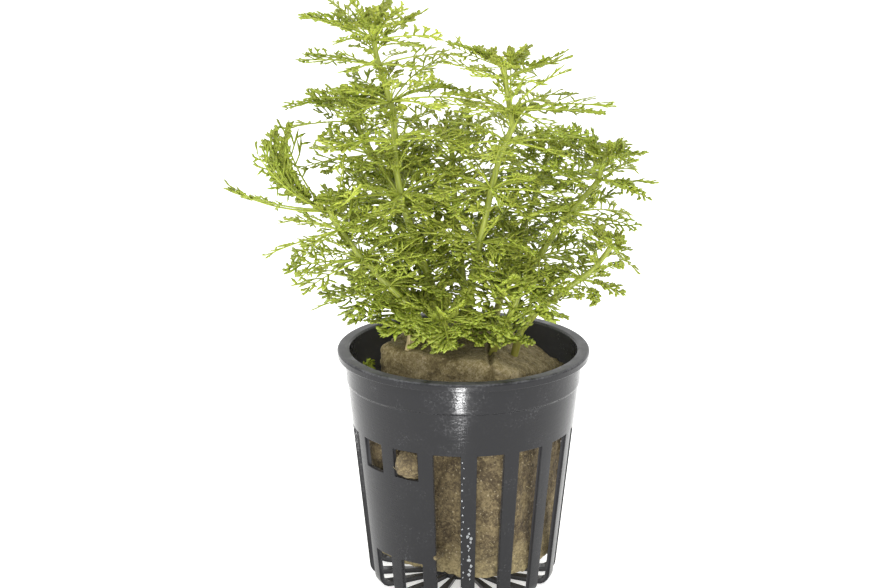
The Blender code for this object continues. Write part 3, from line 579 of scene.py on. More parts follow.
def add_piece(name, node, slot, material, surface, merge=0.0, **values):
    """Puts a surface in the scene as a piece that rides on the body and replaces its node, where it
    has one. Doubles closer than merge, in millimetres, become one point and the faces then turn
    outward. Gives the piece."""
    mesh = new_mesh(f"{name}_shape", *surface, **values)
    if not len(mesh.polygons):
        raise RuntimeError(f"{name} has no faces")
    if merge:
        work = bmesh.new()
        work.from_mesh(mesh)
        bmesh.ops.remove_doubles(work, verts=work.verts, dist=merge * MM)
        bmesh.ops.recalc_face_normals(work, faces=work.faces)
        work.to_mesh(mesh)
        work.free()
    mesh.materials.append(material)
    item = bpy.data.objects.new(name, mesh)
    bpy.context.scene.collection.objects.link(item)
    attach(item, "root")
    if node:
        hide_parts(node)
    return item


def turned(radius, turn, height):
    """Points at a distance from the Z axis, an angle round it and a height."""
    places = np.broadcast_arrays(radius * np.cos(turn), radius * np.sin(turn), height)
    return np.stack(places, axis=-1)


def nearest(line, point):
    """Number of the line's point that is nearest to that one."""
    return np.argmin(np.linalg.norm(line - point, axis=1))


def repeat_faces(faces, step, count):
    """The faces again for each of a count of like shapes, whose points are step apart."""
    return (faces + (np.arange(count) * step)[:, None, None]).reshape(-1, faces.shape[1])


def sweep(paths, across, widths, depths, corners):
    """Sections carried along paths: at each station an ellipse with that half width and half depth,
    drawn with a few corners and square to the path. The last station is a point, and the first is
    capped. Paths and across are arrays of path x station x 3."""
    count, stations = paths.shape[:2]
    along = unit(np.gradient(paths, axis=1))
    across = np.broadcast_to(across, paths.shape)
    across = unit(across - along * np.sum(across * along, axis=2, keepdims=True))
    up = np.cross(across, along)
    turn = np.radians(90 + 360 * np.arange(corners) / corners)[:, None]
    wide = np.broadcast_to(widths, (count, stations))[:, :-1, None, None]
    deep = np.broadcast_to(depths, (count, stations))[:, :-1, None, None]
    rings = paths[:, :-1, None] + across[:, :-1, None] * np.cos(turn) * wide
    rings = rings + up[:, :-1, None] * np.sin(turn) * deep
    points = np.concatenate([rings.reshape(count, -1, 3), paths[:, -1:]], axis=1)
    quads = grid_quads(stations - 1, corners)[:, ::-1]
    j = np.arange(corners)
    last = (stations - 2) * corners
    fan = np.stack([last + j, np.full(corners, last + corners), last + (j + 1) % corners], axis=1)
    middle = np.arange(1, corners - 1)
    cap = np.stack([np.zeros_like(middle), middle, middle + 1], axis=1)
    faces = (repeat_faces(part, points.shape[1], count) for part in (quads, np.vstack([fan, cap])))
    return points.reshape(-1, 3), *faces


def join(parts):
    """Joins (points, quads, triangles, *values) of several surfaces into one."""
    starts = np.concatenate([[0], np.cumsum([len(part[0]) for part in parts])[:-1]])
    points = np.vstack([part[0] for part in parts])
    quads = np.vstack([part[1] + start for part, start in zip(parts, starts)])
    triangles = np.vstack([part[2] + start for part, start in zip(parts, starts)])
    values = [np.concatenate([part[k] for part in parts]) for k in range(3, len(parts[0]))]
    return (points, quads, triangles, *values)


def run_along(path):
    """Length along a path up to each of its points."""
    return np.concatenate([[0], np.cumsum(np.linalg.norm(np.diff(path, axis=0), axis=1))])


def smooth_route(route, step):
    """Points every step or so along the Catmull-Rom curve through the route: between b and c, with a
    before and d after them, (2b + (c - a)t + (2a - 5b + 4c - d)t^2 + (3b - a - 3c + d)t^3) / 2."""
    route = np.array(route, dtype=float)
    ends = np.vstack([2 * route[0] - route[1], route, 2 * route[-1] - route[-2]])
    pieces = []
    for a, b, c, d in zip(ends, ends[1:], ends[2:], ends[3:]):
        t = np.linspace(0, 1, ROUTE_SHARES)[1 if pieces else 0:, None]
        pieces.append(0.5 * (2 * b + (c - a) * t + (2 * a - 5 * b + 4 * c - d) * t ** 2
                             + (3 * b - a - 3 * c + d) * t ** 3))
    return even_points(np.vstack(pieces), step)


def even_points(path, step):
    """The path again, with evenly spaced points."""
    run = run_along(path)
    even = np.linspace(0, run[-1], max(3, int(round(run[-1] / step)) + 1))
    return np.column_stack([np.interp(even, run, path[:, k]) for k in range(3)])


# Net pot

def corner_arc(radius):
    """Points of a quarter circle at the wall's foot, from its lowest to its outermost."""
    angles = np.radians(np.linspace(-90, 0, CORNER_STEPS + 1))
    middle = WALL_FOOT_RADIUS - CORNER
    return [(middle + radius * math.cos(a), CORNER + radius * math.sin(a)) for a in angles]


def pot_stations():
    """Outer and inner (radius, height) stations in step, from the middle of the floor to the
    collar."""
    wall = [(wall_radius(z), z) for z in WALL_HEIGHTS]
    outer = [(r, 0.0) for r in FLOOR_RADII] + corner_arc(CORNER) + wall
    inner = [(r, WALL) for r in FLOOR_RADII] + corner_arc(CORNER - WALL)
    inner += [(r - WALL, z) for r, z in wall]
    return np.array(outer), np.array(inner)


def pot_surface():
    """A profile turned about Z: the outside from the middle of the floor to the rim, then the
    inside back down. The cells of the slots are left out of both skins, and walls join the skins
    round each opening. Gives points and quads, and tells which points are inside."""
    outer, inner = pot_stations()
    profile = np.vstack([outer, RIM_PROFILE, inner[::-1]])
    cells = SLOT_CELLS + RIB_CELLS
    in_sector = np.linspace(-SLOT_WIDTH / 2, SLOT_WIDTH / 2, SLOT_CELLS + 1)
    on_rib = np.linspace(SLOT_WIDTH / 2, SLOT_STEP - SLOT_WIDTH / 2, RIB_CELLS + 1)[1:-1]
    sector = np.concatenate([in_sector, on_rib])
    turn = np.radians(FIRST_SLOT + SLOT_STEP * np.arange(SLOTS)[:, None] + sector).ravel()
    rows, columns = len(profile), len(turn)
    points = turned(profile[:, :1], turn, profile[:, 1:])

    reach, rise = outer.T
    in_slot_row = (reach[:-1] >= SLOT_REACH) & (rise[1:] <= SLOT_TOP)
    in_label_row = (rise[:-1] >= LABEL_FOOT) & (rise[1:] <= LABEL_TOP)
    cell = np.arange(columns)
    in_slot = cell % cells < SLOT_CELLS
    on_label = np.isin(cell // cells, LABEL_SLOTS)
    open_cell = in_slot_row[:, None] & in_slot & ~(in_label_row[:, None] & on_label)
    keep = np.ones((rows - 1, columns), dtype=bool)
    keep[:len(open_cell)] = ~open_cell
    keep[-len(open_cell):] = ~open_cell[::-1]
    skins = grid_quads(rows, columns)[keep.ravel()]

    def walls(row, column, other_row, other_column):
        column, other_column = column % columns, other_column % columns
        return np.stack([row * columns + column, other_row * columns + other_column,
                         (rows - 1 - other_row) * columns + other_column,
                         (rows - 1 - row) * columns + column], axis=1)

    padded = np.pad(open_cell, ((1, 1), (0, 0)))
    row, column = np.nonzero(padded[1:] != padded[:-1])
    level_walls = walls(row, column, row, column + 1)
    row, column = np.nonzero(open_cell != np.roll(open_cell, 1, axis=1))
    upright_walls = walls(row, column, row + 1, column)
    first_inside = rows - len(inner) - INSIDE_RIM_POINTS
    on_inside = np.repeat(np.arange(rows) >= first_inside, columns)
    return points.reshape(-1, 3), np.vstack([skins, level_walls, upright_walls]), on_inside


def drop_surface(places, sizes, stretch):
    """Flattened balls: latitude by longitude, a little longer downwards, half sunk in the wall."""
    rows, columns = DROP_GRID
    tilt = np.linspace(0, math.pi, rows)[:, None]
    turn = np.linspace(0, math.tau, columns, endpoint=False)
    ball = turned(np.sin(tilt), turn, np.cos(tilt)).reshape(-1, 3)
    points = places[:, None] + ball * sizes[:, None, None] * stretch[:, None]
    return points.reshape(-1, 3), repeat_faces(grid_quads(rows, columns), len(ball), len(places))


def wall_radius(height):
    """Outer radius of the pot's wall at a height."""
    share = (height - CORNER) / (COLLAR_FOOT - CORNER)
    return WALL_FOOT_RADIUS + share * (WALL_TOP_RADIUS - WALL_FOOT_RADIUS)


# Rock wool

def wool_radius(angle, height):
    """Distance from the block's centre to its side: a rounded square, |cos|^p + |sin|^p = 1 with p
    as the power, held inside the wall."""
    squeeze = np.clip((WOOL_SQUARE_FROM - height) / (WOOL_SQUARE_FROM - WOOL_ROUND_BELOW), 0, 1)
    power = WOOL_SQUARE + squeeze * (WOOL_ROUND - WOOL_SQUARE)
    half_side = WOOL_DIAGONAL / (math.sqrt(2) * 2 ** (-1 / power))
    local = angle - math.radians(-90 + WOOL_TURN) + math.pi / 4
    spread = np.abs(np.cos(local)) ** power + np.abs(np.sin(local)) ** power
    radius = half_side * spread ** (-1 / power)
    along = WOOL_CENTRE[0] * np.cos(angle) + WOOL_CENTRE[1] * np.sin(angle)
    across = WOOL_CENTRE[0] * np.sin(angle) - WOOL_CENTRE[1] * np.cos(angle)
    wall = wall_radius(np.clip(height, CORNER, COLLAR_FOOT)) - WALL - WOOL_GAP
    return np.minimum(radius, np.sqrt(wall ** 2 - across ** 2) - along)


def wool_surface(roughness):
    """A rounded square lofted upwards: angle by profile, where the profile runs from the middle of
    the foot out, up the side and back to the middle of the top. The edges are rounded by an inset
    that follows a quarter circle, and noise pushes the whole in and out."""
    turn = np.linspace(0, math.tau, WOOL_COLUMNS, endpoint=False)
    discs = np.linspace(0, 1, WOOL_DISCS)[:-1]
    levels = np.linspace(WOOL_FOOT, WOOL_TOP, WOOL_LEVELS)
    share = np.concatenate([discs, np.ones_like(levels), discs[::-1]])[:, None]
    level = np.pad(levels, len(discs), mode="edge")[:, None]
    from_edge = np.minimum(level - WOOL_FOOT, WOOL_TOP - level).clip(0, WOOL_EDGE) / WOOL_EDGE
    inset = WOOL_EDGE * (1 - np.sqrt(1 - (1 - from_edge) ** 2))
    radius = share * (wool_radius(turn, level) - inset)
    x = WOOL_CENTRE[0] + radius * np.cos(turn)
    tilt = np.clip((level - WOOL_TILT_FROM) / (WOOL_TOP - WOOL_TILT_FROM), 0, 1)
    height = level - WOOL_SLOPE * np.maximum(0, x - WOOL_SLOPE_START) * tilt

    points = WOOL_CENTRE + turned(radius, turn, height)
    for lump in WOOL_LUMPS:
        points = press_out(points, *lump)
    facing = np.cross(np.roll(points, -1, axis=1) - np.roll(points, 1, axis=1),
                      np.gradient(points, axis=0))
    facing[:2] = (0, 0, -1)
    facing[-2:] = (0, 0, 1)
    push = sum(depth * lattice_noise(points, size, seed) for depth, size, seed in WOOL_NOISE)
    place, width, depth, foot, rise = WOOL_CREASE
    crease = np.exp(-((points[..., 0] - place) / width) ** 2) * (points[..., 1] < 0)
    push -= depth * crease * np.clip((height - foot) / rise, 0, 1)
    points = points + unit(facing) * (push * roughness)[..., None]
    points[0] = points[0].mean(axis=0)
    points[-1] = points[-1].mean(axis=0)
    return points.reshape(-1, 3), grid_quads(*radius.shape)


def press_out(points, lead, middle, size, start):
    """Bulges the side outwards round one direction and height as half an ellipsoid."""
    lead = math.radians(lead)
    out, side = turned(1, lead, 0), turned(1, lead + math.pi / 2, 0)
    reach = points @ out
    spread = 1 - (points @ side / size[1]) ** 2 - ((points[..., 2] - middle) / size[2]) ** 2
    bulge = start + size[0] * np.sqrt(np.clip(spread, 0, 1))
    extra = np.where((spread > 0) & (reach > 0), np.maximum(bulge - reach, 0), 0)
    on_side = np.clip((np.hypot(points[..., 0], points[..., 1]) - SIDE_FROM) / SIDE_SPAN, 0, 1)
    return points + out * (extra * on_side)[..., None]


def fibre_surface(anchors, facing, draw):
    """Hair-thin curved tubes that lie along the surface and lift off it at one end."""
    count = len(anchors)
    lay = unit(np.cross(facing, draw.normal(size=(count, 3))))
    bend = np.cross(facing, lay)
    length = chance(draw, "fibre_length", (count, 1, 1))
    share = np.linspace(0, 1, len(FIBRE_WIDTHS))[None, :, None]
    curl = chance(draw, "fibre_curl", (count, 1, 1))
    lift = chance(draw, "fibre_lift", (count, 1, 1))
    paths = anchors[:, None] + length * (lay[:, None] * share + bend[:, None] * curl * share ** 2
                                         + facing[:, None] * lift * share ** 1.5)
    return sweep(paths, bend[:, None], FIBRE_WIDTHS, FIBRE_WIDTHS, THIN_SIDES)


# Shoots

def stem_routes():
    """The fine middle line of every stem, from its foot in the rock wool to its tip."""
    lines = {}
    for name, route in ROUTES.items():
        foot = np.array(route[0], dtype=float) - (0, 0, STEM_ROOT)
        lines[name] = even_points(smooth_route([foot, *route], CAD_STEM_STEP), STEM_STEP)
    return lines


def read_whorl(node, line):
    """Reads a packed whorl: its centre and axis, its hub's radius, and each leaf's direction, root,
    knee and tip.

    A leaf's outline stands on both sides of its thickness, so pairs of corners that are one
    thickness apart give the outline; the widest pair of a blade lies at a known share of it. The
    corners nearest to the stem's line are those of the hub's bore."""
    corners = np.array([v.co for v in frame["nodes"][node].data.vertices]) / MM
    corners = np.unique(np.round(corners, 3), axis=0)
    apart = np.linalg.norm(corners[:, None] - corners, axis=2)
    i, j = np.nonzero(np.triu(np.abs(apart - LEAF_THICK) < THICK_SLACK, 1))
    outline = (corners[i] + corners[j]) / 2
    near = np.linalg.norm(outline[:, None] - line, axis=2).min(axis=1)
    bore = outline[np.argsort(near)[:BORE_CORNERS]]
    centre = bore.mean(axis=0)
    axis = np.linalg.svd(bore - centre)[2][2]
    axis = axis * np.sign(axis[2])
    hub = np.linalg.norm(bore - centre, axis=1).mean() + HUB_RING
    rest = outline[np.linalg.norm(outline - centre, axis=1) > hub + HUB_SLACK]
    gap = rest[:, None] - rest
    wide = np.abs(np.linalg.norm(gap, axis=2) - BLADE_WIDE) < BLADE_SLACK
    level = np.abs(gap[..., 2]) < BLADE_SLACK
    leaves = []
    for p, q in zip(*np.nonzero(np.triu(wide & level, 1))):
        side = gap[p, q] / BLADE_WIDE
        flat = np.cross(side, (0, 0, 1))
        middle = (rest[p] + rest[q]) / 2
        flat = flat * np.sign((middle - centre) @ flat)
        root = centre + unit(flat - axis * (flat @ axis)) * hub
        if abs((middle - root) @ side) > PLANE_SLACK:
            continue
        others = np.delete(rest, (p, q), axis=0)
        others = others[np.abs((others - root) @ side) < PLANE_SLACK]
        others = others[(others - root) @ flat > 0]
        if not len(others):
            continue
        tip = others[np.argmax(np.linalg.norm(others - root, axis=1))]
        t = BLADE_WIDEST
        knee = (middle - root * (1 - t) ** 2 - tip * t ** 2) / (2 * t * (1 - t))
        leaves.append((flat, root, knee, tip))
    if not leaves:
        raise RuntimeError(f"no leaves were read from {node}")
    return centre, axis, hub, leaves


def whorl_leaves(centre, axis, hub, leaves, draw, at_tip, extras):
    """Root, knee, tip and side vector of all leaves of a whorl: those of the CAD part, then between
    each two neighbours some that are shorter and at their own slant, and short leaves that stand up
    at the tip of a shoot."""
    rows = []
    azimuths = np.array([math.atan2(flat[1], flat[0]) for flat, *_ in leaves])
    order = np.argsort(azimuths)
    for number, following in zip(order, np.roll(order, -1)):
        flat, root, knee, tip = leaves[number]
        rows.append((flat, knee - root, tip - root))
        gap = (azimuths[following] - azimuths[number]) % math.tau
        other_flat, other_root, other_knee, other_tip = leaves[following]
        for low, high, shortest, longest in EXTRA_LEAVES[:extras]:
            between = turned(1, azimuths[number] + gap * chance(draw, "between"), 0)
            size = draw.uniform(shortest, longest)
            tilt = draw.uniform(low, high)
            vectors = []
            for own, other in ((knee - root, other_knee - other_root),
                               (tip - root, other_tip - other_root)):
                out = (own @ flat + other @ other_flat) / 2 * size
                rise = (own[2] + other[2]) / 2 * size
                vectors.append(between * (out * math.cos(tilt) - rise * math.sin(tilt))
                               + UP * (out * math.sin(tilt) + rise * math.cos(tilt)))
                tilt -= chance(draw, "droop")
            rows.append((between, *vectors))
    for number in range(TIP_LEAVES if at_tip else 0):
        out = turned(1, number * math.tau / TIP_LEAVES + chance(draw, "tip_turn"), 0)
        length = chance(draw, "tip_length")
        rise = math.radians(chance(draw, "tip_rise"))
        tip = length * (out * math.cos(rise) + UP * math.sin(rise))
        rows.append((out, length * (out * TIP_KNEE[0] + UP * TIP_KNEE[1]), tip))
    flats, knees, tips = (np.array(column) for column in zip(*rows))
    starts = unit(flats - axis * (flats @ axis)[:, None])
    roots = centre + starts * hub
    return centre + starts * ROOT_RADIUS, roots + knees, roots + tips, np.cross(flats, UP)


def side_shoot(place, size, draw):
    """Root, knee, tip and side vector of a small bunch of leaves on a stem between two whorls."""
    turn = np.arange(SHOOT_LEAVES) * math.tau / SHOOT_LEAVES + chance(draw, "bunch_turn", SHOOT_LEAVES)
    out = turned(1, turn, 0)
    length = size * chance(draw, "bunch_length", (SHOOT_LEAVES, 1))
    rise = np.radians(chance(draw, "bunch_rise", (SHOOT_LEAVES, 1)))
    roots = place + out * BUNCH_RADIUS + UP * chance(draw, "bunch_height", (SHOOT_LEAVES, 1))
    steep = rise + BUNCH_BEND
    knees = roots + length * 0.5 * (out * np.cos(steep) + UP * np.sin(steep))
    tips = roots + length * (out * np.cos(rise) + UP * np.sin(rise))
    return roots, knees, tips, np.cross(out, UP)


def quadratic(roots, knees, tips, t):
    """Points and directions at shares t (leaf x station) of each leaf's curve, which is
    root (1 - t)^2 + knee 2t (1 - t) + tip t^2."""
    t = t[..., None]
    roots, knees, tips = roots[:, None], knees[:, None], tips[:, None]
    points = roots * (1 - t) ** 2 + knees * 2 * t * (1 - t) + tips * t ** 2
    along = (knees - roots) * (1 - t) + (tips - knees) * t
    return points, unit(along)


def frond_surface(roots, knees, tips, sides, draw, share=None, turning=1.0, pairs=PAIRS,
                  first=FIRST_PAIR, wider=1.0):
    """Leaves cut twice into narrow lobes. A tapering midrib follows each leaf's curve. Pairs of side
    branches leave it at an angle that closes towards the tip, and bend forward. From the first
    pair, u = 0, to the last, u = 1, their length is sin(pi (0.2 + 0.68 u^0.8))^0.7 times the
    blade's. Two pointed lobes stand on each branch, one to each side. Gives points, faces and the
    tone, which is higher towards the ends."""
    shape = bpy.context.scene.ambulia_shape
    count = len(roots)
    length = np.linalg.norm(tips - roots, axis=1)[:, None]
    roll = np.radians(chance(draw, "roll", (count, 1, 1))) * turning
    twist = np.radians(chance(draw, "twist", (count, 1, 1))) * turning
    share = share or shape.branch_share
    blade = np.maximum(share * length, SHORTEST_BRANCH) * chance(draw, "blade", (count, 1))
    own = chance(draw, "tone", (count, 1))
    lobe_width = shape.lobe_width / MM / 2 * wider * chance(draw, "lobe_width", (count, 1, 1))
    parts = []

    def carry(paths, across, widths, flatness, corners, tones):
        """Adds sections carried along paths, with a tone for each of a path's points."""
        paths = paths.reshape(-1, *paths.shape[-2:])
        widths = np.broadcast_to(widths, (*tones.shape[:-1], paths.shape[1])).reshape(paths.shape[:2])
        surface = sweep(paths, across.reshape(-1, 1, 3), widths, widths * flatness, corners)
        parts.append((*surface, tones.ravel()))

    t = np.broadcast_to(RIB_STATIONS, (count, len(RIB_STATIONS)))
    rib, _ = quadratic(roots, knees, tips, t)
    thick = np.clip(length / RIB_LENGTH, *RIB_RANGE) * (RIB_THICK - RIB_TAPER * t)
    tones = np.append(np.repeat(RIB_STATIONS[:-1], RIB_SIDES) * RIB_TONE, RIB_TIP_TONE)
    carry(rib, sides, thick, RIB_FLAT, RIB_SIDES, own + tones)

    u = np.repeat(np.linspace(0, 1, pairs), 2)
    hand = np.tile([1, -1], pairs)
    t = first + (LAST_PAIR - first) * u
    t = np.clip(t + hand * PAIR_STAGGER + chance(draw, "place", (count, 2 * pairs)), 0, 1)
    foot, along = quadratic(roots, knees, tips, t)
    base_side = np.broadcast_to(sides[:, None], along.shape)
    up = unit(np.cross(base_side, along))
    up = up * np.sign(up[..., 2:] + 1e-9)
    rolled = roll + twist * t[..., None]
    side = base_side * np.cos(rolled) + up * np.sin(rolled)
    up = up * np.cos(rolled) - base_side * np.sin(rolled)
    angle = WIDEST_ANGLE - CLOSING_ANGLE * u + chance(draw, "angle", t.shape)
    angle = np.radians(angle)[..., None]
    outward = side * hand[:, None]
    lift = chance(draw, "lift", t.shape)[..., None]
    forward = unit(along * np.cos(angle) + outward * np.sin(angle) + up * lift)
    size = np.sin(math.pi * (0.2 + 0.68 * u ** 0.8)) ** 0.7 * chance(draw, "branch", t.shape)
    reach = (blade * size)[..., None, None]
    bend = chance(draw, "bend", t.shape)[..., None, None]
    sag = chance(draw, "sag", t.shape)[..., None, None]

    def on_branch(x):
        return foot[:, :, None] + reach * (forward[:, :, None] * x + along[:, :, None] * bend * x ** 2
                                           + up[:, :, None] * sag * x ** 2)

    in_plane = unit(np.cross(up, forward))
    tones = own[:, :, None] + np.broadcast_to(BRANCH_TONES, (count, 2 * pairs, len(BRANCH_TONES)))
    carry(on_branch(BRANCH_STATIONS[:, None]), in_plane, lobe_width * BRANCH_WIDTHS, BRANCH_FLAT,
          THIN_SIDES, tones)

    places = LOBE_PLACES + chance(draw, "lobe_place", (*t.shape, len(LOBE_PLACES)))
    feet = on_branch(places[..., None])
    spread = np.radians(chance(draw, "lobe_angle", places.shape))[..., None]
    swing = in_plane[:, :, None] * LOBE_SIDES[:, None]
    pointing = unit(forward[:, :, None] * np.cos(spread) + swing * np.sin(spread)
                    + up[:, :, None] * chance(draw, "lobe_lift", places.shape)[..., None])
    lobe_length = (blade * size)[..., None] * chance(draw, "lobe_length", places.shape)
    lobe_length = np.maximum(lobe_length * (1 - LOBE_TAPER * places), SHORTEST_LOBE)[..., None, None]
    lobes = feet[..., None, :] + pointing[..., None, :] * lobe_length * LOBE_STATIONS[:, None]
    across = unit(np.cross(np.broadcast_to(up[:, :, None], pointing.shape), pointing))
    tones = own[:, :, None, None] + np.broadcast_to(LOBE_TONES, (*places.shape, len(LOBE_TONES)))
    carry(lobes, across, lobe_width[..., None] * LOBE_WIDTHS, LOBE_FLAT, THIN_SIDES, tones)
    return join(parts)


def whorl_surface(node, line, below, draw, at_tip):
    """All leaves at one whorl: its own ones, the bunch on the stem below it and the folded ones.
    Gives points, faces and tone, and the whorl's centre."""
    centre, axis, hub, leaves = read_whorl(node, line)
    own_name = node.removeprefix("leaf_whorl_")
    extras = 0 if own_name in OPEN_WHORLS else 1 if centre[2] > OPEN_ABOVE else 2
    curves = whorl_leaves(centre, axis, hub, leaves, draw, at_tip, extras)
    between = line[nearest(line, (centre + below) / 2)]
    size = np.clip(np.linalg.norm(centre - below), *BUNCH_RANGE)
    curves = [np.vstack(pair) for pair in zip(curves, side_shoot(between, size, draw))]
    lowness = np.clip((LOW_FOOT + LOW_SPAN - centre[2]) / LOW_SPAN, 0, 1)
    *surface, tone = frond_surface(*curves, draw, wider=1 + LOW_WIDER * lowness)
    for whorl, knee, tip, spread, share, pairs, first in FOLDED_LEAVES:
        if whorl == own_name:
            curve = np.array([[centre], [knee], [tip], [unit(np.array(spread))]])
            *folded, shade = frond_surface(*curve, draw, share, FOLDED_TURNING, pairs, first)
            *surface, tone = join([(*surface, tone), (*folded, shade + FOLDED_TONE)])
    # Painted light: leaves near the middle are moved towards the pale midrib colour.
    inward = 1 - np.hypot(surface[0][:, 0], surface[0][:, 1]) / MIDDLE_RADIUS
    return surface, tone - MIDDLE_PAINTED_LIGHT * np.clip(inward, 0, 1), centre


def stem_surface(line, nodes):
    """A round section carried along the stem's line, thinner towards the tip and swollen at each
    whorl. Gives points, faces and the age, which is 1 in the rock wool and falls higher up."""
    run = run_along(line)
    radius = STEM_FOOT_RADIUS + run / run[-1] * (STEM_TIP_RADIUS - STEM_FOOT_RADIUS)
    for node in nodes:
        at = run[nearest(line, node)]
        radius = radius * (1 + NODE_SWELL * np.exp(-((run - at) / NODE_LENGTH) ** 2))
    uneven, *noise = STEM_NOISE
    radius = radius * (1 + uneven * lattice_noise(line, *noise))
    from_tip = np.clip((run[-1] - run) / STEM_ROUNDING, 0, 1)
    radius = radius * np.maximum(np.sqrt(1 - (1 - from_tip) ** 2), STEM_POINT)
    surface = sweep(line[None], np.array([[[1.0, 0, 0]]]), radius, radius, STEM_SIDES)
    age = np.clip(1 - (line[:, 2] - WOOL_TOP) / STEM_BROWN, 0, 1)
    age = STEM_YOUNG + (1 - STEM_YOUNG) * age
    return (*surface, np.append(np.repeat(age[:-1], STEM_SIDES), age[-1]))


def stub_surface():
    """A hollow tube with a torn top: an outside and an inside wall turned about a leaning line. At
    an angle a its edge stands 0.45 sin(3a + 1) + 0.25 sin(7a) mm higher, and its radius is
    1 + 0.07 cos(5a) times the profile's."""
    turn = np.linspace(0, math.tau, STUB_COLUMNS, endpoint=False)
    radius, height = np.hsplit(np.array(STUB_PROFILE), 2)
    torn = 0.45 * np.sin(3 * turn + 1) + 0.25 * np.sin(7 * turn)
    height = height + torn * np.clip((height - STUB_TORN_FROM) / STUB_TORN_RISE, 0, 1)
    radius = radius * (1 + 0.07 * np.cos(5 * turn))
    lean = unit(STUB_LEAN)
    first = unit(np.cross(lean, (0, 1, 0)))
    points = STUB_FOOT + turned(radius, turn, height) @ np.array([first, np.cross(lean, first), lean])
    return points.reshape(-1, 3), grid_quads(*radius.shape)


# Settings

def colour(name, what, hex_colour):
    """A colour setting."""
    return bpy.props.FloatVectorProperty(name=name, description=what, subtype="COLOR", size=4,
                                         min=0.0, max=1.0, default=linear(hex_colour))


class AmbuliaLooks(bpy.types.PropertyGroup):
    """Colours of the plant, the rock wool and the pot."""

    plastic: colour("Plastic", "The pot's clean plastic", "#1a1a1c")
    dusty_plastic: colour("Dusty Plastic", "Plastic with dried splashes", "#212123")
    # Partly painted light: the grey flange top is real scuffs plus a painted sheen.
    scuff_and_sheen_plastic: colour("Scuff And Sheen Plastic", "Scuffed plastic on top of the flange", "#4a4a4c")
    # Painted light: the inside of the pot is painted paler to lift its shade.
    inside_lightened_plastic: colour("Inside Lightened Plastic", "Plastic inside the pot, with a film of lime", "#4a4a4c")
    wool: colour("Wool", "Rock wool in general", "#534731")
    # Painted shade: the hollows between clumps of fibres.
    hollow_shade_wool: colour("Hollow Shade Wool", "Hollows between clumps of fibres", "#362c1e")
    pale_wool: colour("Pale Wool", "Beads of slag and loose fibres", "#7c6e4e")
    slag_bead: colour("Slag Bead", "Pale grains in the rock wool", "#a5987a")
    # Partly painted light: the top is painted lighter, and its dark stop paints shade into the hollows.
    olive_lit_top_wool: colour("Olive Lit Top Wool", "The tinted top of the block", "#7d7049")
    olive_top_hollow_shade_wool: colour("Olive Top Hollow Shade Wool", "Hollows in the tinted top", "#564a2c")
    # Partly painted light: the pale foot also stands for light from below.
    pale_yellow_wool: colour("Pale Yellow Wool", "The yellow foot of the block", "#a4966c")
    stem: colour("Stem", "Lit streaks of a stem", "#9aa442")
    stem_shade: colour("Stem Shade", "Darker streaks of a stem", "#7f8a34")
    old_stem: colour("Old Stem", "Browned foot of a stem", "#7d6b3a")
    rib: colour("Midrib", "Midribs and leaf stalks", "#a8b24a")
    leaf: colour("Leaf", "Side branches of a leaf", "#949e38")
    leaf_shade: colour("Leaf Shade", "Ends of the lobes", "#7f8b2c")
    old_leaf: colour("Old Leaf", "Lower and older leaves", "#6f7c20")
    straw: colour("Straw", "The dry stem end", "#b8a878")
    straw_shade: colour("Straw Shade", "Cracks in the dry stem end", "#6f6142")
    water: colour("Water", "Drops on the pot", "#f4f8fa")
    floor: colour("Floor", "The paper under the pot", "#f6f6f5")


class AmbuliaShape(bpy.types.PropertyGroup):
    """Sizes of the fine parts."""

    branch_share: bpy.props.FloatProperty(
        name="Branch Share", description="Longest side branch as a share of the leaf's length",
        default=0.28, min=0.05, max=0.5)
    lobe_width: bpy.props.FloatProperty(
        name="Lobe Width", description="Width of a leaf's lobes", default=0.0007,
        min=0.0001, max=0.002, precision=5, unit="LENGTH")
    wool_roughness: bpy.props.FloatProperty(
        name="Wool Roughness", description="How far clumps stand out of the rock wool",
        default=1.0, min=0.0, max=2.0)
    fibres: bpy.props.IntProperty(
        name="Fibres", description="Loose fibres on the rock wool", default=500, min=1, max=4000)
    floor_size: bpy.props.FloatProperty(
        name="Floor Size", description="Side of the square floor", default=12.0,
        min=1.0, max=50.0, unit="LENGTH")


# Operators

class AMBULIA_OT_pot(bpy.types.Operator):
    """Build the slotted net pot"""

    bl_idname = "ambulia.pot"
    bl_label = "Net Pot"

    def execute(self, context):
        *surface, on_inside = pot_surface()
        pot = add_piece("pot_moulded", "net_pot", "pot_plastic",
                        new_material(moulded_black_polypropylene), surface, merge=0.01,
                        inside=on_inside)
        bevel = pot.modifiers.new("rounded_edges", "BEVEL")
        bevel.width = EDGE_ROUND * MM
        bevel.segments = 2
        bevel.limit_method = "ANGLE"
        bevel.angle_limit = math.radians(EDGE_ANGLE)
        bevel.harden_normals = True
        return {"FINISHED"}


class AMBULIA_OT_drops(bpy.types.Operator):
    """Hang a few water drops on the rib in front"""

    bl_idname = "ambulia.drops"
    bl_label = "Water Drops"

    def execute(self, context):
        draw = np.random.default_rng(SEEDS["drops"])
        runs = []
        for low, high, count, angle, spread, smallest, largest in DROP_RUNS:
            height = np.linspace(low, high, count) + chance(draw, "drop_height", count)
            turn = np.radians(angle + draw.uniform(-spread, spread, count))
            runs.append(np.stack([height, turn, draw.uniform(smallest, largest, count)]))
        height, turn, sizes = np.hstack(runs)
        places = turned(wall_radius(height), turn, height)
        stretch = 1 - DROP_FLAT * np.abs(turned(1, turn, 0)) + UP * DROP_HANG
        add_piece("water_drops", None, "pot_plastic", new_material(water_drop_painted_glint),
                  drop_surface(places, sizes, stretch), merge=0.001)
        return {"FINISHED"}


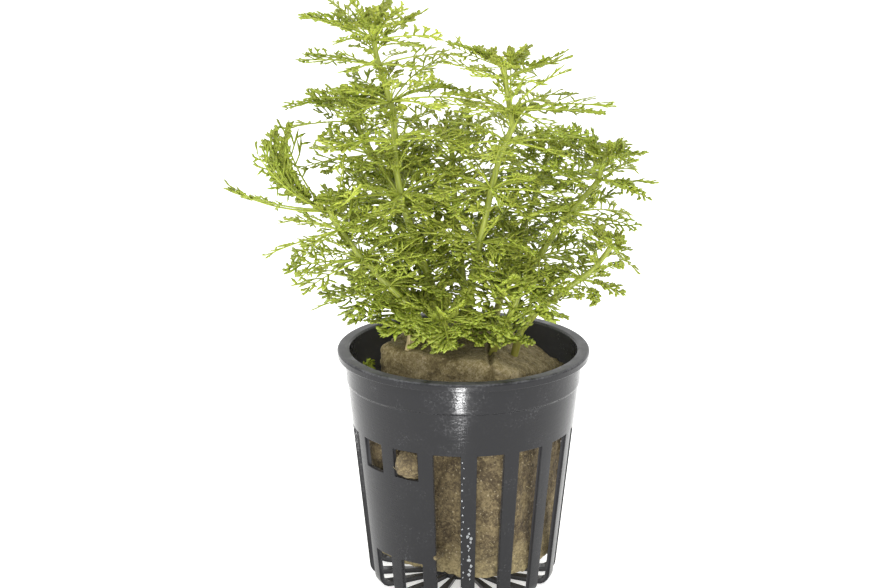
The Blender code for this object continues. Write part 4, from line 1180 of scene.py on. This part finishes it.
class AMBULIA_OT_wool(bpy.types.Operator):
    """Build the block of rock wool with its loose fibres"""

    bl_idname = "ambulia.wool"
    bl_label = "Rock Wool"

    def execute(self, context):
        shape = context.scene.ambulia_shape
        block = add_piece("wool_block", "rock_wool_plug", "rock_wool",
                          new_material(pressed_rock_wool), wool_surface(shape.wool_roughness),
                          merge=0.001)
        draw = np.random.default_rng(SEEDS["fibres"])
        faces = block.data.polygons
        centres, facing = np.empty((2, 3 * len(faces)), dtype=np.float32)
        faces.foreach_get("center", centres)
        faces.foreach_get("normal", facing)
        centres, facing = centres.reshape(-1, 3) / MM, facing.reshape(-1, 3)
        shown = np.nonzero(centres[:, 2] > FIBRES_ABOVE)[0]
        chosen = draw.choice(shown, shape.fibres, replace=False)
        add_piece("wool_fibres", None, "rock_wool", new_material(drawn_slag_fibre),
                  fibre_surface(centres[chosen], facing[chosen], draw))
        return {"FINISHED"}


class AMBULIA_OT_shoots(bpy.types.Operator):
    """Grow the stems and their whorls of finely cut leaves"""

    bl_idname = "ambulia.shoots"
    bl_label = "Shoots"

    def execute(self, context):
        stem_skin, leaf_skin = new_material(living_stem_waxy_skin), new_material(living_leaf_soft_skin)
        draw = np.random.default_rng(SEEDS["shoots"])
        for name, line in stem_routes().items():
            # Whorls are numbered from the top down, and grown from the lowest up.
            own = re.compile(rf"leaf_whorl_{name}_\d+").fullmatch
            nodes = sorted(filter(own, frame["nodes"]), reverse=True)
            centres = [line[np.argmin(abs(line[:, 2] - WOOL_TOP))]]
            for node in nodes:
                at_tip = node == nodes[-1]
                surface, tone, centre = whorl_surface(node, line, centres[-1], draw, at_tip)
                centres.append(centre)
                old = np.clip(1 - (surface[0][:, 2] - OLD_BELOW) / OLD_SPAN, 0, 1)
                add_piece(node.replace("leaf_whorl", "fronds"), node, "leaf_green", leaf_skin,
                          surface, tone=tone, age=old)
            *surface, age = stem_surface(line, centres[1:])
            add_piece(f"stalk_{name}", f"stem_{name}", "stem_green", stem_skin, surface, age=age)
        return {"FINISHED"}


class AMBULIA_OT_stub(bpy.types.Operator):
    """Stand the dry stem end in the rock wool"""

    bl_idname = "ambulia.stub"
    bl_label = "Dry Stem End"

    def execute(self, context):
        add_piece("dry_stub", "dry_stem_stub", "dry_straw", new_material(dead_stem_dried),
                  stub_surface(), merge=0.001)
        return {"FINISHED"}


class AMBULIA_OT_stray(bpy.types.Operator):
    """Lay the torn bit of leaf between the rock wool and the wall"""

    bl_idname = "ambulia.stray"
    bl_label = "Stray Leaf"

    def execute(self, context):
        *surface, tone = frond_surface(*STRAY_CURVE, np.random.default_rng(SEEDS["stray"]))
        add_piece("torn_leaf", "stray_leaf", "torn_leaf_green", new_material(living_leaf_soft_skin),
                  surface, tone=tone, age=np.full_like(tone, STRAY_AGE))
        return {"FINISHED"}


class AMBULIA_OT_stage(bpy.types.Operator):
    """Set the floor, the lights and the camera"""

    bl_idname = "ambulia.stage"
    bl_label = "Stage"

    def execute(self, context):
        scene = context.scene
        corners = np.array([(-1, -1, 0), (1, -1, 0), (1, 1, 0), (-1, 1, 0)])
        corners = corners * scene.ambulia_shape.floor_size / 2 / MM
        mesh = new_mesh("floor_shape", corners, np.array([[0, 1, 2, 3]]))
        mesh.materials.append(new_material(backdrop_paper_matt))
        floor = bpy.data.objects.new("floor", mesh)
        scene.collection.objects.link(floor)
        for light in LIGHTS:
            add_light(*light)
        world = bpy.data.worlds.new("studio")
        world.use_nodes = True
        background = world.node_tree.nodes["Background"]
        background.inputs["Color"].default_value = linear("#ffffff")
        background.inputs["Strength"].default_value = WORLD_STRENGTH
        scene.world = world
        scene.view_settings.view_transform = "Standard"
        add_camera(scene)
        return {"FINISHED"}


def add_light(name, place, size, watts, target):
    """A rectangular soft light that faces the target; the camera doesn't see it."""
    lamp = bpy.data.lights.new(name, "AREA")
    lamp.shape = "RECTANGLE"
    lamp.size, lamp.size_y = size
    lamp.energy = watts
    item = bpy.data.objects.new(name, lamp)
    item.location = place
    item.visible_camera = False
    item.rotation_euler = (target - item.location).to_track_quat("-Z", "Y").to_euler()
    bpy.context.scene.collection.objects.link(item)


def add_camera(scene):
    """The camera at the photo's angle and distance."""
    camera = bpy.data.cameras.new("camera")
    camera.lens = LENS
    camera.sensor_width = SENSOR
    item = bpy.data.objects.new("camera", camera)
    rise = math.radians(CAMERA_RISE)
    back = Vector((0.0, -math.cos(rise), math.sin(rise)))
    item.location = CAMERA_TARGET + back * CAMERA_DISTANCE
    item.rotation_euler = (-back).to_track_quat("-Z", "Y").to_euler()
    scene.collection.objects.link(item)
    scene.camera = item


class AMBULIA_PT_panel(bpy.types.Panel):
    """Steps that build the plant in its pot"""

    bl_label = "Giant Ambulia"
    bl_idname = "AMBULIA_PT_panel"
    bl_space_type = "VIEW_3D"
    bl_region_type = "UI"
    bl_category = "Ambulia"

    def draw(self, context):
        for step in STEPS:
            self.layout.operator(step.bl_idname)
        for group in (context.scene.ambulia_shape, context.scene.ambulia_looks):
            for key in group.__annotations__:
                self.layout.prop(group, key)


GROUPS = (AmbuliaLooks, AmbuliaShape)
STEPS = (AMBULIA_OT_pot, AMBULIA_OT_drops, AMBULIA_OT_wool, AMBULIA_OT_shoots, AMBULIA_OT_stub,
         AMBULIA_OT_stray, AMBULIA_OT_stage)


def register():
    for item in (*GROUPS, *STEPS, AMBULIA_PT_panel):
        bpy.utils.register_class(item)
    bpy.types.Scene.ambulia_looks = bpy.props.PointerProperty(type=AmbuliaLooks)
    bpy.types.Scene.ambulia_shape = bpy.props.PointerProperty(type=AmbuliaShape)


def unregister():
    del bpy.types.Scene.ambulia_shape
    del bpy.types.Scene.ambulia_looks
    for item in reversed((*GROUPS, *STEPS, AMBULIA_PT_panel)):
        bpy.utils.unregister_class(item)


def main():
    register()
    bpy.ops.ambulia.pot()
    bpy.ops.ambulia.drops()
    bpy.ops.ambulia.wool()
    bpy.ops.ambulia.shoots()
    bpy.ops.ambulia.stub()
    bpy.ops.ambulia.stray()
    bpy.ops.ambulia.stage()


if __name__ == "__main__":
    main()
